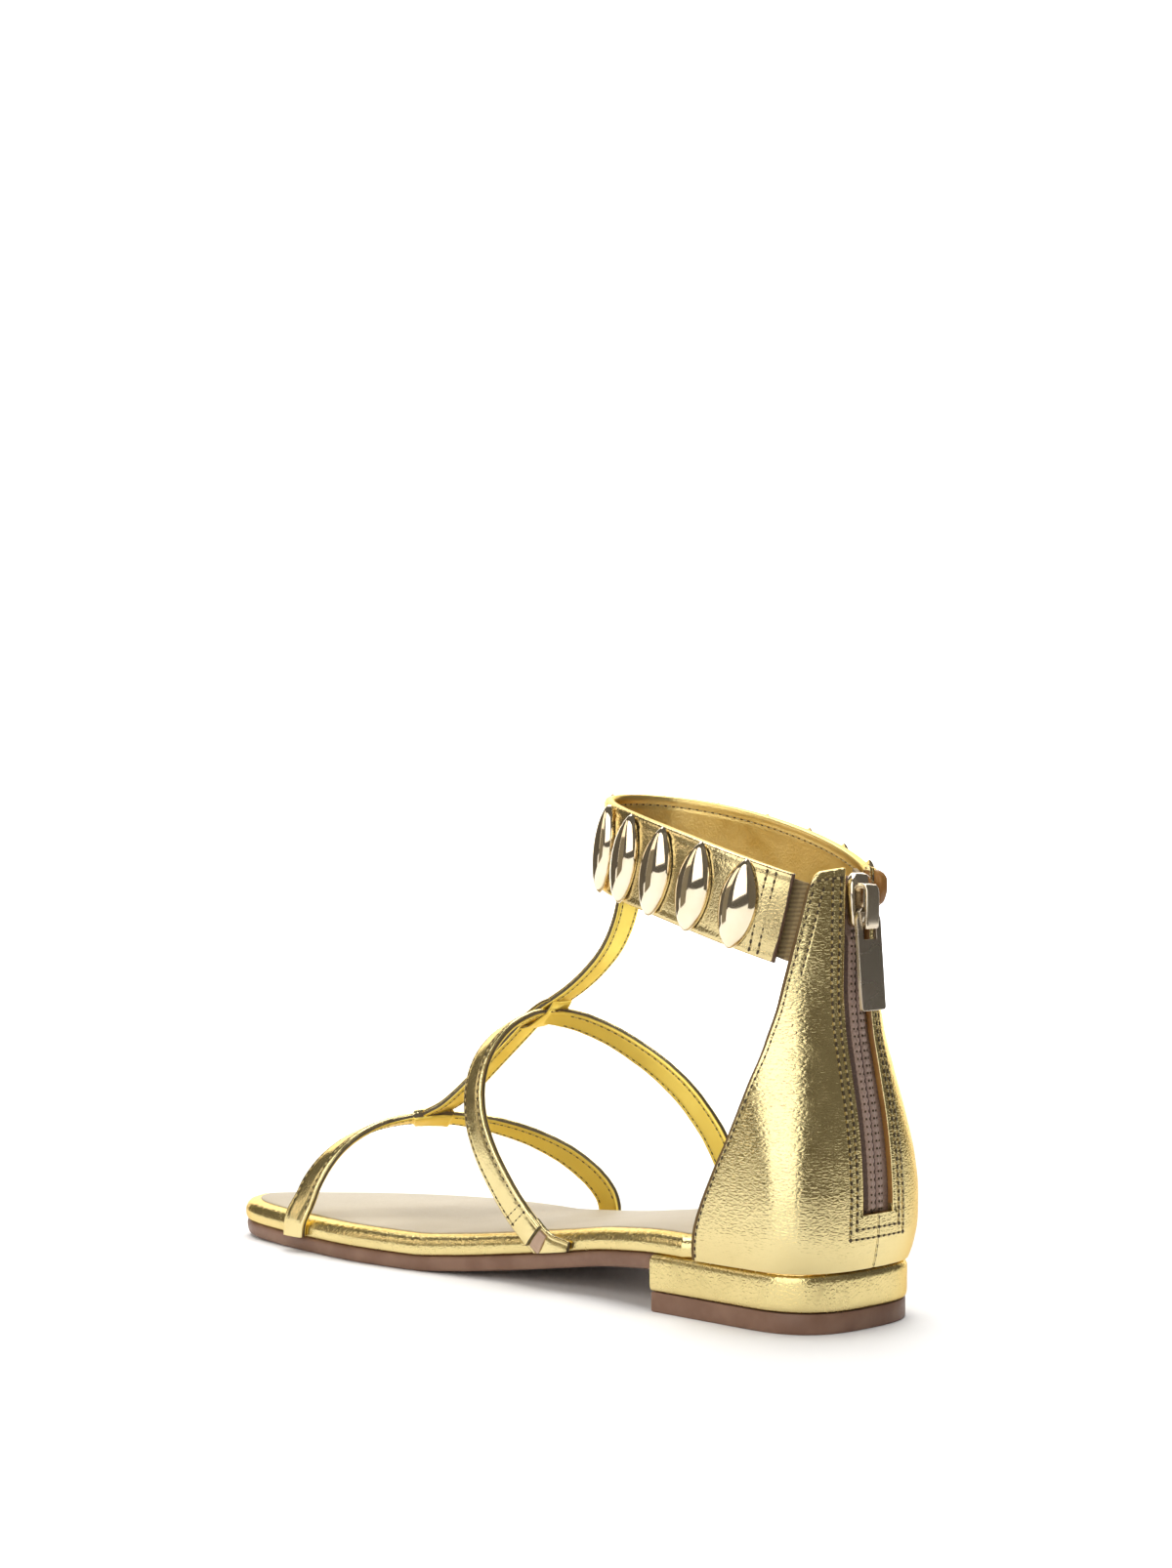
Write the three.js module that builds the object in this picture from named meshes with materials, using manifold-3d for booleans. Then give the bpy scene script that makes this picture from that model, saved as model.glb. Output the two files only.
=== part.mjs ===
// A woman's flat gladiator sandal for the right foot: +X to the toe, +Y to the inner (medial) side, +Z up, in mm.
// Sizes are read off the photograph through a fitted camera, with the sole's length as the scale.
import * as THREE from "three";
import Module from "manifold-3d";

const wasm = await Module();
wasm.setup();

// Named sizes
const GAP = 0.3; // air between pieces that touch
const HEEL_Y = 2; // the heel's own middle line
const OUTSOLE = 4.4;
const FOOTBED = 6.0;
const RIM_ROUND = 2.4;
const SOCK = 0.8;
const SOCK_INSET = 3.6;
const TOP_LIFT = 5.5;
const STRAP_WIDTH = 8.4;
const STRAP_THICK = 2.2;
const COUNTER_WALL = 2.0;
const BAND_WALL = 3.0;
const BAND_HEIGHT = 25;
const ZIP_BOTTOM = 31;
const ZIP_WIDTH = { bottom: 12.4, top: 10.4 };
const ZIP_TAPE = 1.0;
const COIL = { width: 5.6, height: 2.3 };
const COIL_TOP = 104; // above it the slider hides the coil
const TAPE_DEPTH = COUNTER_WALL + 0.75; // the tape lies clear of the wall's facets
const STUD = { length: 25.4, width: 10.4, height: 3.3, slant: 3.6 };

const lerp = (a, b, t) => a + (b - a) * t;
const clamp = (v, lo, hi) => Math.min(hi, Math.max(lo, v));

// A smooth curve through the rows of a table: monotone cubic between neighbours.
function curve(rows, col = 1) {
  const x = rows.map((r) => r[0]);
  const y = rows.map((r) => r[col]);
  const n = x.length;
  const d = x.slice(1).map((v, i) => (y[i + 1] - y[i]) / (v - x[i]));
  const m = x.map((_, i) => {
    if (i === 0) return d[0];
    if (i === n - 1) return d[n - 2];
    if (d[i - 1] * d[i] <= 0) return 0;
    return (2 * d[i - 1] * d[i]) / (d[i - 1] + d[i]);
  });
  return (v) => {
    const q = clamp(v, x[0], x[n - 1]);
    let i = 0;
    while (i < n - 2 && q > x[i + 1]) i++;
    const h = x[i + 1] - x[i];
    const t = (q - x[i]) / h;
    return (
      y[i] * (1 + 2 * t) * (1 - t) ** 2 +
      m[i] * h * t * (1 - t) ** 2 +
      y[i + 1] * t * t * (3 - 2 * t) +
      m[i + 1] * h * t * t * (t - 1)
    );
  };
}

// Sole plan, share of the length from the heel: [share, inner side y, outer side y]
const PLAN = [
  [0.2, 28.2, -24.6],
  [0.26, 28.0, -25.6],
  [0.34, 26.0, -29.0],
  [0.42, 24.8, -32.8],
  [0.5, 26.0, -36.6],
  [0.58, 30.0, -40.0],
  [0.66, 33.6, -41.0],
  [0.74, 35.2, -38.4],
  [0.82, 34.0, -31.6],
  [0.88, 32.2, -22.6],
  [0.92, 30.8, -13.8],
  [0.95, 29.2, -5.2],
  [0.975, 26.2, 2.8],
  [0.99, 22.2, 9.2],
  [1.0, 15.8, 15.6],
];
// Underside of the outsole above the floor: [share, z]
const UNDER = [
  [0.0, 11.6],
  [0.24, 11.5],
  [0.33, 9.8],
  [0.42, 6.4],
  [0.5, 3.4],
  [0.58, 1.1],
  [0.64, 0],
  [0.84, 0],
  [0.92, 0.3],
  [1.0, 1.2],
];
const HEEL = { rear: 5.9, front: 64, half: 26.2, arc: 24, power: 2.8 };
const TOE_X = 246; // datum x of the toe tip, the heel block's back being at HEEL.rear
const innerY = curve(PLAN, 1);
const outerY = curve(PLAN, 2);
const underAt = curve(UNDER, 1);
const zUnder = (x) => underAt(clamp(x / TOE_X, 0, 1));
const zFootbed = (x) => zUnder(x) + OUTSOLE + GAP; // underside of the footbed
const zTread = (x) => zFootbed(x) + FOOTBED; // where the foot stands

// Half of a plan outline round the back: superellipse points from the middle out to one side.
function rearHalf({ rear, half, arc, power }, side, count) {
  const e = 2 / power;
  return Array.from({ length: count }, (_, i) => {
    const t = (Math.PI / 2) * (i / (count - 1));
    return [
      rear + arc - arc * Math.abs(Math.cos(t)) ** e,
      HEEL_Y + side * half * Math.abs(Math.sin(t)) ** e,
    ];
  });
}

// Points at equal spacing along a polyline.
function resample(points, count) {
  const s = [0];
  for (let i = 1; i < points.length; i++)
    s.push(s[i - 1] + Math.hypot(...points[i].map((v, k) => v - points[i - 1][k])));
  return Array.from({ length: count }, (_, j) => {
    const want = (s[s.length - 1] * j) / (count - 1);
    let i = 0;
    while (i < s.length - 2 && want > s[i + 1]) i++;
    const t = (want - s[i]) / (s[i + 1] - s[i] || 1);
    return points[i].map((v, k) => lerp(v, points[i + 1][k], t));
  });
}

// One side of the sole's outline from the toe back to x, inner side +1, outer side -1.
function soleSide(side, backX, count) {
  const y = side > 0 ? innerY : outerY;
  const points = [];
  for (let i = 0; i <= 400; i++) {
    const share = lerp(1, backX / TOE_X, (i / 400) ** 1.6);
    points.push([share * TOE_X, y(share)]);
  }
  return resample(points, count);
}

// Closed body from stacked outlines. Each outline runs down one side and back up the other with equal counts,
// so both caps are strips of quads across it.
function stack(rings) {
  const n = rings[0].length;
  const half = n / 2;
  const verts = rings.flat(2);
  const tris = [];
  for (let k = 0; k + 1 < rings.length; k++)
    for (let i = 0; i < n; i++) {
      const j = (i + 1) % n;
      const [a, b, c, d] = [k * n + i, k * n + j, (k + 1) * n + j, (k + 1) * n + i];
      tris.push(a, b, c, a, c, d);
    }
  const top = (rings.length - 1) * n;
  for (let i = 0; i + 1 < half; i++) {
    const [p, q, r, s] = [i, i + 1, n - 2 - i, n - 1 - i];
    tris.push(p, r, q, p, s, r);
    tris.push(top + p, top + q, top + r, top + p, top + r, top + s);
  }
  return solid(verts, tris);
}

function solid(verts, tris) {
  const build = (t) =>
    new wasm.Manifold(
      new wasm.Mesh({
        numProp: 3,
        vertProperties: new Float32Array(verts),
        triVerts: new Uint32Array(t),
      }),
    );
  const made = build(tris);
  if (made.volume() >= 0) return made;
  const flipped = [];
  for (let i = 0; i < tris.length; i += 3) flipped.push(tris[i], tris[i + 2], tris[i + 1]);
  return build(flipped);
}

// Moves a closed plan outline inwards by d.
function inset(outline, d) {
  const n = outline.length;
  return outline.map(([x, y], i) => {
    const p = outline[(i + n - 1) % n];
    const q = outline[(i + 1) % n];
    const [tx, ty] = [q[0] - p[0], q[1] - p[1]];
    const len = Math.hypot(tx, ty) || 1;
    return [x - (ty / len) * d, y + (tx / len) * d];
  });
}

// Plan outlines. All run anticlockwise seen from above: toe to heel on the inner side, then back on the outer.
const SIDE_POINTS = 30;
function joinSides(inner, outer) {
  return [...inner, ...outer.reverse()];
}
const OUTSOLE_BACK = HEEL.front - 0.4; // the sole's end is rounded over by its inset, which leaves the gap
const outsolePlan = joinSides(soleSide(1, OUTSOLE_BACK, SIDE_POINTS), soleSide(-1, OUTSOLE_BACK, SIDE_POINTS));
const SEAT = { ...HEEL, rear: 8.8, half: 24.4, arc: 20 }; // footbed inside the counter
function footbedSide(side) {
  const y = side > 0 ? innerY : outerY;
  const fore = [];
  for (let i = 0; i <= 400; i++) {
    const x = lerp(TOE_X, 52, (i / 400) ** 1.6);
    fore.push([x, y(x / TOE_X)]);
  }
  const seat = rearHalf(SEAT, side, 60).reverse();
  const edge = HEEL_Y + side * SEAT.half;
  return resample([...fore, [49.5, lerp(fore[400][1], edge, 0.7)], [47, edge], ...seat.slice(0, -1), [SEAT.rear, HEEL_Y + side * 0.4]], 40);
}
const footbedPlan = joinSides(footbedSide(1), footbedSide(-1));
const heelPlan = joinSides(
  resample([[HEEL.front, HEEL_Y + HEEL.half - 0.4], ...rearHalf(HEEL, 1, 60).reverse().slice(0, -1), [HEEL.rear, HEEL_Y + 0.5]], 24),
  resample([[HEEL.front, HEEL_Y - HEEL.half + 0.4], ...rearHalf(HEEL, -1, 60).reverse().slice(0, -1), [HEEL.rear, HEEL_Y - 0.5]], 24),
);

const level = (outline, d, z) =>
  inset(outline, d).map(([x, y]) => [x, y, typeof z === "number" ? z : z(x)]);

function makeOutsole() {
  const top = (x) => zUnder(x) + OUTSOLE;
  return stack([
    level(outsolePlan, 1.9, zUnder),
    level(outsolePlan, 0.9, (x) => zUnder(x) + 1.0),
    level(outsolePlan, 0.5, (x) => top(x) - 0.6),
    level(outsolePlan, 0.9, top),
  ]);
}

// The footbed, or with grow the room it takes up, which the straps keep out of.
function makeFootbed(grow = 0) {
  const r = RIM_ROUND;
  return stack([
    level(footbedPlan, 0.9 - grow, (x) => zFootbed(x) - grow),
    level(footbedPlan, 0.1 - grow, (x) => zFootbed(x) + 1.2 - grow),
    level(footbedPlan, -grow, (x) => zTread(x) - r - 0.6 + grow),
    level(footbedPlan, 0.35 * r - grow, (x) => zTread(x) - 0.5 * r + grow),
    level(footbedPlan, 0.9 * r - grow, (x) => zTread(x) - 0.12 * r + grow),
    level(footbedPlan, 1.5 * r - grow, (x) => zTread(x) + grow),
  ]);
}

// The sock's plan stops short of the toe, where the two sides would cross.
function sockPlan() {
  const line = inset(footbedPlan, SOCK_INSET);
  const half = line.length / 2;
  const kept = line.slice(0, half).map((_, i) => i).filter((i) => i > half / 2 || line[i][1] - line[2 * half - 1 - i][1] > 1.5);
  const inner = kept.map((i) => line[i]);
  const outer = kept.map((i) => line[2 * half - 1 - i]);
  return joinSides(resample(inner, 34), resample(outer, 34));
}
const SOCK_PLAN = sockPlan();
function makeSock() {
  const base = (x) => zTread(x) + 0.1;
  return stack([
    level(SOCK_PLAN, 0, base),
    level(SOCK_PLAN, 0, (x) => base(x) + 0.6 * SOCK),
    level(SOCK_PLAN, 0.3, (x) => base(x) + SOCK),
  ]);
}

const zBlockTop = (x) => zFootbed(x) - GAP;
function makeHeelBlock() {
  return stack([
    level(heelPlan, 0.9, TOP_LIFT + GAP),
    level(heelPlan, 0.1, TOP_LIFT + GAP + 1.1),
    level(heelPlan, 0.0, (x) => zBlockTop(x) - 2.4),
    level(heelPlan, 0.3, (x) => zBlockTop(x) - 0.9),
    level(heelPlan, 1.2, zBlockTop),
  ]);
}

function makeTopLift() {
  return stack([level(heelPlan, 1.0, 0), level(heelPlan, 0.5, 0.6), level(heelPlan, 0.5, TOP_LIFT)]);
}

// Heel counter, outer surface by height: [z, rear x, half width, arc, power, front edge x]
const COUNTER = [
  [15.0, 6.6, 26.4, 20, 2.7, 47.8],
  [20, 5.2, 27.8, 19.5, 2.65, 47.0],
  [27, 4.3, 28.8, 19, 2.6, 45.2],
  [34, 4.2, 29.0, 19, 2.55, 42.6],
  [44, 4.7, 28.6, 20.5, 2.5, 38.6],
  [55, 6.0, 27.6, 24, 2.4, 34.2],
  [68, 8.4, 26.4, 29, 2.3, 29.8],
  [80, 10.6, 25.8, 34, 2.2, 26.4],
  [92, 11.6, 25.8, 38, 2.15, 23.6],
  [105, 11.5, 26.2, 41.5, 2.15, 21.0],
  [124, 11.4, 26.4, 44, 2.15, 17.6],
];
const [cRear, cHalf, cArc, cPower, cFront] = [1, 2, 3, 4, 5].map((k) => curve(COUNTER, k));
const COUNTER_TOP = { edge: 121.4, middle: 123.2 };

// One side of the counter's plan at height z, from the back's middle to the front edge, moved in by depth.
function counterSide(z, side, depth, count) {
  const rear = rearHalf({ rear: cRear(z), half: cHalf(z), arc: cArc(z), power: cPower(z) }, side, 120);
  const end = cFront(z);
  const line = rear.filter((p) => p[0] < end);
  const last = line[line.length - 1];
  const next = rear[line.length] || [end, last[1]];
  line.push([end, lerp(last[1], next[1], clamp((end - last[0]) / (next[0] - last[0] || 1), 0, 1))]);
  const even = resample(line, count);
  return even.map(([x, y], i) => {
    const a = even[Math.max(i - 1, 0)];
    const b = even[Math.min(i + 1, count - 1)];
    const t = i === 0 ? [0, side] : [b[0] - a[0], b[1] - a[1]];
    const len = Math.hypot(...t);
    return [x + (side * t[1] * depth) / len, y - (side * t[0] * depth) / len];
  });
}

// Shell of the counter between two depths, open at the front, from row 0 (low) to the top.
function counterShell(outer, inner, rows, cols, low, high) {
  const around = (h, depth) => {
    const near = [];
    for (const side of [1, -1]) {
      const line = Array.from({ length: cols }, (_, i) => i).map((i) => {
        const f = i / (cols - 1);
        const lowZ = low(f);
        const z = lerp(lowZ, high(f), h);
        const [x, y] = counterSide(z, side, depth, cols)[i];
        return [x, y, z];
      });
      near.push(line);
    }
    return [...near[0].reverse(), ...near[1].slice(1)];
  };
  const rings = [];
  const hs = Array.from({ length: rows }, (_, k) => k / (rows - 1));
  const out = hs.map((h) => around(h, outer));
  const inn = hs.map((h) => around(h, inner));
  const count = out[0].length;
  for (let i = 0; i < count; i++)
    rings.push([...out.map((row) => row[i]), ...inn.map((row) => row[i]).reverse()]);
  return tube(rings);
}

// Closed body from rings set one after another along a path, with flat fans or strips at both ends.
function tube(rings) {
  const n = rings[0].length;
  const verts = rings.flat(2);
  const tris = [];
  for (let k = 0; k + 1 < rings.length; k++)
    for (let i = 0; i < n; i++) {
      const j = (i + 1) % n;
      const [a, b, c, d] = [k * n + i, k * n + j, (k + 1) * n + j, (k + 1) * n + i];
      tris.push(a, b, c, a, c, d);
    }
  const top = (rings.length - 1) * n;
  for (let i = 0; i + 1 < n / 2; i++) {
    const [p, q, r, s] = [i, i + 1, n - 2 - i, n - 1 - i];
    if (q !== r) tris.push(p, r, q, top + p, top + q, top + r);
    tris.push(p, s, r, top + p, top + r, top + s);
  }
  return solid(verts, tris);
}

const zCounterLow = () => zBlockTop(20) + GAP;
const counterTop = (f) => lerp(COUNTER_TOP.middle, COUNTER_TOP.edge, f ** 1.5);

function box(x0, x1, y0, y1, z0, z1) {
  return stack([
    [[x1, y0, z0], [x1, y1, z0], [x0, y1, z0], [x0, y0, z0]],
    [[x1, y0, z1], [x1, y1, z1], [x0, y1, z1], [x0, y0, z1]],
  ]);
}

// The zip's opening, narrower at the top, cut through the back wall.
const zipHalf = (z) => 0.5 * lerp(ZIP_WIDTH.bottom, ZIP_WIDTH.top, clamp((z - ZIP_BOTTOM) / 90, 0, 1));
function zipCutter() {
  const zs = [ZIP_BOTTOM, ZIP_BOTTOM + 0.8, ZIP_BOTTOM + 2.5, 60, 90, 130];
  const narrow = [2.0, 0.6, 0, 0, 0, 0];
  return tube(
    zs.map((z, i) => {
      const h = zipHalf(z) - narrow[i];
      return [[-20, HEEL_Y - h, z], [24, HEEL_Y - h, z], [24, HEEL_Y + h, z], [-20, HEEL_Y + h, z]];
    }),
  );
}

function makeCounter() {
  const shell = counterShell(0, COUNTER_WALL, 15, 14, zCounterLow, counterTop);
  return shell.subtract(zipCutter());
}

// The zip's tape lies behind the opening, with the closed coil as a ridge that stands in it.
function makeZipTape() {
  const zs = [ZIP_BOTTOM - 4, ZIP_BOTTOM + 0.5, ZIP_BOTTOM + 1.6];
  for (let z = ZIP_BOTTOM + 6; z < COIL_TOP - 2; z += 6.5) zs.push(z);
  zs.push(COIL_TOP, COIL_TOP + 0.8, 112, 120.6);
  return tube(
    zs.map((z) => {
      const wide = zipHalf(z) + 3.2;
      const at = (y, depth) => {
        const line = counterSide(z, Math.sign(y) || 1, TAPE_DEPTH + depth, 60);
        const i = line.findIndex((p) => Math.abs(p[1] - HEEL_Y) >= Math.abs(y));
        const k = Math.max(i, 1);
        const t = clamp((Math.abs(y) - Math.abs(line[k - 1][1] - HEEL_Y)) /
          (Math.abs(line[k][1] - HEEL_Y) - Math.abs(line[k - 1][1] - HEEL_Y) || 1), 0, 1);
        return [lerp(line[k - 1][0], line[k][0], t), HEEL_Y + y, z];
      };
      const c = COIL.width / 2;
      const up = (z < ZIP_BOTTOM + 1 || z > COIL_TOP ? 0 : COIL.height) + 0.01;
      const ys = [-wide, -0.6 * wide, -c, -c + 0.5, -0.35, 0, 0.35, c - 0.5, c, 0.6 * wide, wide];
      const lift = [0, 0, 0, up, up, up * 0.8, up, up, 0, 0, 0];
      const front = ys.map((y, i) => at(y, -lift[i]));
      const back = ys.map((y) => at(y, ZIP_TAPE)).reverse();
      return [...front, ...back];
    }),
  );
}

// Ankle band, outer surface. Angle 0 is the front; v runs 0 at the lower edge to 1 at the top.
const BAND = { cx: 55.4, cy: 2, a: 43.6, b: 26.2, e: 0.92, z: 132.2, slope: 0.257, bow: -2.8, lean: 2.4 };
const BAND_END = { top: 141.7, bottom: 135.2 };
const RAD = Math.PI / 180;
function bandPlan(deg, depth) {
  const c = Math.cos(deg * RAD);
  const s = Math.sin(deg * RAD);
  const p = (k, v) => k * Math.sign(v) * Math.abs(v) ** BAND.e;
  const at = (q) => [p(BAND.a, Math.cos(q * RAD)), p(BAND.b, Math.sin(q * RAD))];
  const [x, y] = [p(BAND.a, c), p(BAND.b, s)];
  const [u, w] = [at(deg - 0.7), at(deg + 0.7)];
  const [tx, ty] = [w[0] - u[0], w[1] - u[1]];
  const len = Math.hypot(tx, ty);
  return [BAND.cx + x - (ty / len) * depth, BAND.cy + y + (tx / len) * depth];
}
function bandPoint(deg, v, depth) {
  const [x, y] = bandPlan(deg, depth);
  const u = bandPlan(deg, 0)[0] - BAND.cx;
  const top = BAND.z + BAND.slope * u + BAND.bow * (u / BAND.a) ** 2;
  return [x + BAND.lean * (1 - v), y, top - BAND_HEIGHT * (1 - v)];
}

function makeBand() {
  const steps = 40;
  const w = BAND_WALL;
  const section = [
    [0.0, 0.8], [0.035, 0.15], [0.12, 0], [0.5, -0.25], [0.88, 0], [0.965, 0.15], [1.0, 0.8],
    [1.0, w - 0.7], [0.965, w], [0.5, w], [0.035, w], [0.0, w - 0.7],
  ];
  const rings = [];
  for (let i = 0; i <= steps; i++) {
    const f = (i / steps) * 2 - 1;
    const eased = f * (1 - 0.12 * (1 - f * f));
    rings.push(section.map(([v, d]) => bandPoint(eased * lerp(BAND_END.bottom, BAND_END.top, v), v, d)));
  }
  return tube(rings);
}

// Arc length along the band's plan against the angle, so studs are spaced and shaped in mm.
const bandArc = (() => {
  const rows = [[-150, 0]];
  for (let d = -149; d <= 150; d++) {
    const p = bandPlan(d - 1, 0);
    const q = bandPlan(d, 0);
    rows.push([d, rows[rows.length - 1][1] + Math.hypot(q[0] - p[0], q[1] - p[1])]);
  }
  const zero = rows[150][1];
  return rows.map(([d, s]) => [d, s - zero]);
})();
const arcAt = curve(bandArc, 1);
const angleAt = curve(bandArc.map(([d, s]) => [s, d]), 1);

// Pointed oval dome lying on the band: its middle at arc position s, its top leaning to the heel.
function makeStud(s) {
  const lean = Math.sign(s) || 1;
  const along = 9;
  const across = [-1, -0.62, 0, 0.62, 1];
  const place = (q, p, h) => {
    const mm = s + lean * (p + (q / STUD.length) * STUD.slant);
    return bandPoint(angleAt(mm), 0.5 + (q / BAND_HEIGHT) * 1.0, -0.25 - GAP - h);
  };
  const rings = [];
  for (let i = 0; i <= along; i++) {
    const f = -Math.cos((Math.PI * i) / along);
    const g = Math.max(1 - f * f, 0.004);
    const half = 0.5 * STUD.width * g ** 0.85;
    const rise = STUD.height * g ** 0.7;
    const q = f * 0.5 * STUD.length;
    const dome = across.map((c) => place(q, c * half, 0.15 + rise * Math.sqrt(1 - 0.98 * c * c)));
    const flat = [...across].reverse().map((c) => place(q, c * half, 0));
    rings.push([...dome, ...flat]);
  }
  return tube(rings);
}
const STUD_ARCS = [79.2, 65.4, 51.8, 38.6, 26, 2.5, -11.5, -27, -42.5, -57.5, -71.5, -84.5];

// Elastic gore behind the gap between the band's end and the counter.
function makeGore(side) {
  const rings = [];
  const cols = 9;
  for (let i = 0; i < cols; i++) {
    const f = i / (cols - 1);
    const ring = [];
    for (const [v, d] of [[0.06, 0], [0.5, 0], [0.94, 0], [0.94, 1.2], [0.5, 1.2], [0.06, 1.2]]) {
      const deg = side * lerp(lerp(126, 133, v), lerp(144, 152, v), f);
      const step = clamp((f - 0.55) / 0.2, 0, 1); // from behind the band to behind the thinner counter
      ring.push(bandPoint(deg, v, lerp(BAND_WALL + GAP + 0.1, COUNTER_WALL + 0.1, step) + d));
    }
    rings.push(ring);
  }
  return tube(rings);
}

// Straps. Each row is a point of the strap's middle and the direction it faces: [x, y, z, nx, ny, nz]
const sideInner = (x) => innerY(x / TOE_X) + GAP + STRAP_THICK / 2;
const sideOuter = (x) => outerY(x / TOE_X) - GAP - STRAP_THICK / 2;
const T_STRAP = [
  [95.5, 2, 124.0, 1, 0, 0.1],
  [96.3, 2, 115.0, 0.99, 0, 0.15],
  [98.2, 2, 106.0, 0.92, 0, 0.4],
  [103.0, 2, 96.8, 0.8, 0, 0.6],
  [110.2, 2, 89.4, 0.68, 0, 0.73],
  [118.4, 2, 83.4, 0.6, 0, 0.8],
  [126.4, 2, 78.9, 0.55, 0, 0.84],
  [130.9, 2, 76.4, 0.55, 0, 0.84],
  [136.2, 1.9, 72.9, 0.56, 0, 0.83],
  [143.6, 1.7, 67.0, 0.6, 0, 0.8],
  [153.6, 1.4, 59.0, 0.63, 0, 0.78],
  [164.0, 1.1, 50.8, 0.6, 0, 0.8],
  [172.6, 0.9, 45.0, 0.52, 0, 0.85],
  [181.0, 0.7, 41.2, 0.42, 0, 0.91],
];
const MID_STRAP = [
  [98.0, sideInner(98.0), zFootbed(98) - 1.5, 0, 1, 0],
  [106.4, sideInner(106.4), 12.2, 0, 1, 0],
  [113.2, sideInner(113.2), 17.4, 0, 1, 0.02],
  [117.4, 27.4, 22.0, 0, 1, 0.05],
  [122.2, 28.3, 28.4, 0.02, 1, 0.06],
  [129.2, 28.6, 38.6, 0.08, 1, 0.12],
  [134.4, 27.2, 48.4, 0.15, 0.96, 0.22],
  [136.9, 24.4, 57.4, 0.22, 0.9, 0.36],
  [137.2, 20.0, 65.2, 0.3, 0.76, 0.56],
  [135.2, 13.6, 71.6, 0.42, 0.5, 0.75],
  [132.4, 6.8, 74.6, 0.5, 0.22, 0.82],
  [129.6, 2.0, 75.0, 0.54, 0, 0.84],
  [126.4, -4.2, 73.8, 0.5, -0.22, 0.82],
  [121.0, -11.8, 70.2, 0.42, -0.48, 0.77],
  [112.9, -18.6, 64.0, 0.3, -0.72, 0.6],
  [102.6, -23.6, 55.4, 0.2, -0.88, 0.4],
  [94.9, -26.8, 46.2, 0.1, -0.96, 0.24],
  [89.6, -29.0, 37.0, 0.04, -1, 0.12],
  [86.2, -30.4, 27.6, 0, -1, 0.06],
  [84.4, sideOuter(84.4), 20.0, 0, -1, 0],
  [83.0, sideOuter(83.0), zFootbed(83.0) - 2, 0, -1, 0],
];
const TOE_STRAP = [
  [206.4, sideInner(206.4), zFootbed(206) - 2, 0, 1, 0],
  [205.0, sideInner(205.0), 10.4, 0, 1, 0.02],
  [203.2, 33.4, 15.6, 0.04, 0.99, 0.12],
  [201.4, 31.6, 21.4, 0.1, 0.94, 0.32],
  [199.4, 28.2, 27.2, 0.2, 0.8, 0.56],
  [197.2, 23.2, 32.2, 0.3, 0.56, 0.76],
  [194.2, 16.4, 36.2, 0.38, 0.34, 0.86],
  [190.2, 9.2, 38.7, 0.42, 0.16, 0.89],
  [184.6, 2.2, 39.8, 0.44, 0, 0.9],
  [178.6, -6.2, 39.6, 0.42, -0.14, 0.9],
  [171.4, -15.6, 37.4, 0.38, -0.34, 0.86],
  [164.6, -26.2, 33.0, 0.28, -0.62, 0.73],
  [157.6, -34.0, 27.4, 0.18, -0.84, 0.5],
  [151.4, -39.4, 20.6, 0.08, -0.96, 0.26],
  [148.0, sideOuter(148.0) - 0.1, 14.4, 0.02, -1, 0.08],
  [146.2, sideOuter(146.2), zFootbed(146.2) - 2, 0, -1, 0],
];

// A strap along a table's rows, with a soft-cornered section.
function strap(rows, steps, width, thick, from = 0, to = 1, shift = 0, endThin = 0) {
  const v = (r, k) => new THREE.Vector3(...r.slice(k, k + 3));
  const path = new THREE.CatmullRomCurve3(rows.map((r) => v(r, 0)), false, "centripetal");
  const face = new THREE.CatmullRomCurve3(rows.map((r) => v(r, 3)), false, "catmullrom");
  const w = width / 2;
  const rings = [];
  for (let i = 0; i <= steps; i++) {
    const t = lerp(from, to, i / steps);
    const tan = path.getTangent(t);
    const nor = face.getPoint(t);
    nor.addScaledVector(tan, -nor.dot(tan)).normalize();
    const side = new THREE.Vector3().crossVectors(tan, nor);
    const h = (thick / 2) * (endThin && (i === 0 || i === steps) ? endThin : 1);
    const mid = path.getPoint(t).addScaledVector(nor, shift);
    const c = Math.min(0.55, 0.5 * h);
    rings.push(
      [[-w + c, -h], [w - c, -h], [w, -h + c], [w, h - c], [w - c, h], [-w + c, h], [-w, h - c], [-w, -h + c]].map(
        ([s, n]) => mid.clone().addScaledVector(side, s).addScaledVector(nor, n).toArray(),
      ),
    );
  }
  return tube(rings);
}

// The path share of the row with this index.
const shareOf = (rows, index) => index / (rows.length - 1);

function makeUpper() {
  const mid = strap(MID_STRAP, 48, STRAP_WIDTH, STRAP_THICK, shareOf(MID_STRAP, 1.6), 1);
  const tab = strap(MID_STRAP, 8, STRAP_WIDTH + 0.8, 1.1, 0, shareOf(MID_STRAP, 1.9), -0.5);
  const toe = strap(TOE_STRAP, 40, STRAP_WIDTH, STRAP_THICK);
  const tee = strap(T_STRAP, 26, STRAP_WIDTH, STRAP_THICK, 0, 1, 0.5);
  const cross = shareOf(T_STRAP, 7);
  const over = strap(T_STRAP, 8, STRAP_WIDTH + 0.4, 1.2, cross - 0.1, cross + 0.1, 1.4, 0.5);
  const under = strap(T_STRAP, 8, STRAP_WIDTH - 0.6, 1.0, cross - 0.11, cross + 0.11, -2.5, 0.6);
  const fold = strap(TOE_STRAP, 6, STRAP_WIDTH + 1.6, STRAP_THICK + 1.6, shareOf(TOE_STRAP, 7.75), shareOf(TOE_STRAP, 8.85), 0.2);
  return mid.add(tab).add(toe).add(tee).add(over).add(under).add(fold).subtract(makeFootbed(GAP)).subtract(below());
}

// Everything under the footbed's lower edge: strap ends are trimmed to it, where they tuck in.
function below() {
  return stack([level(footbedPlan, -9, (x) => zFootbed(x) - 9), level(footbedPlan, -9, (x) => zFootbed(x) + 0.1)]);
}

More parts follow.
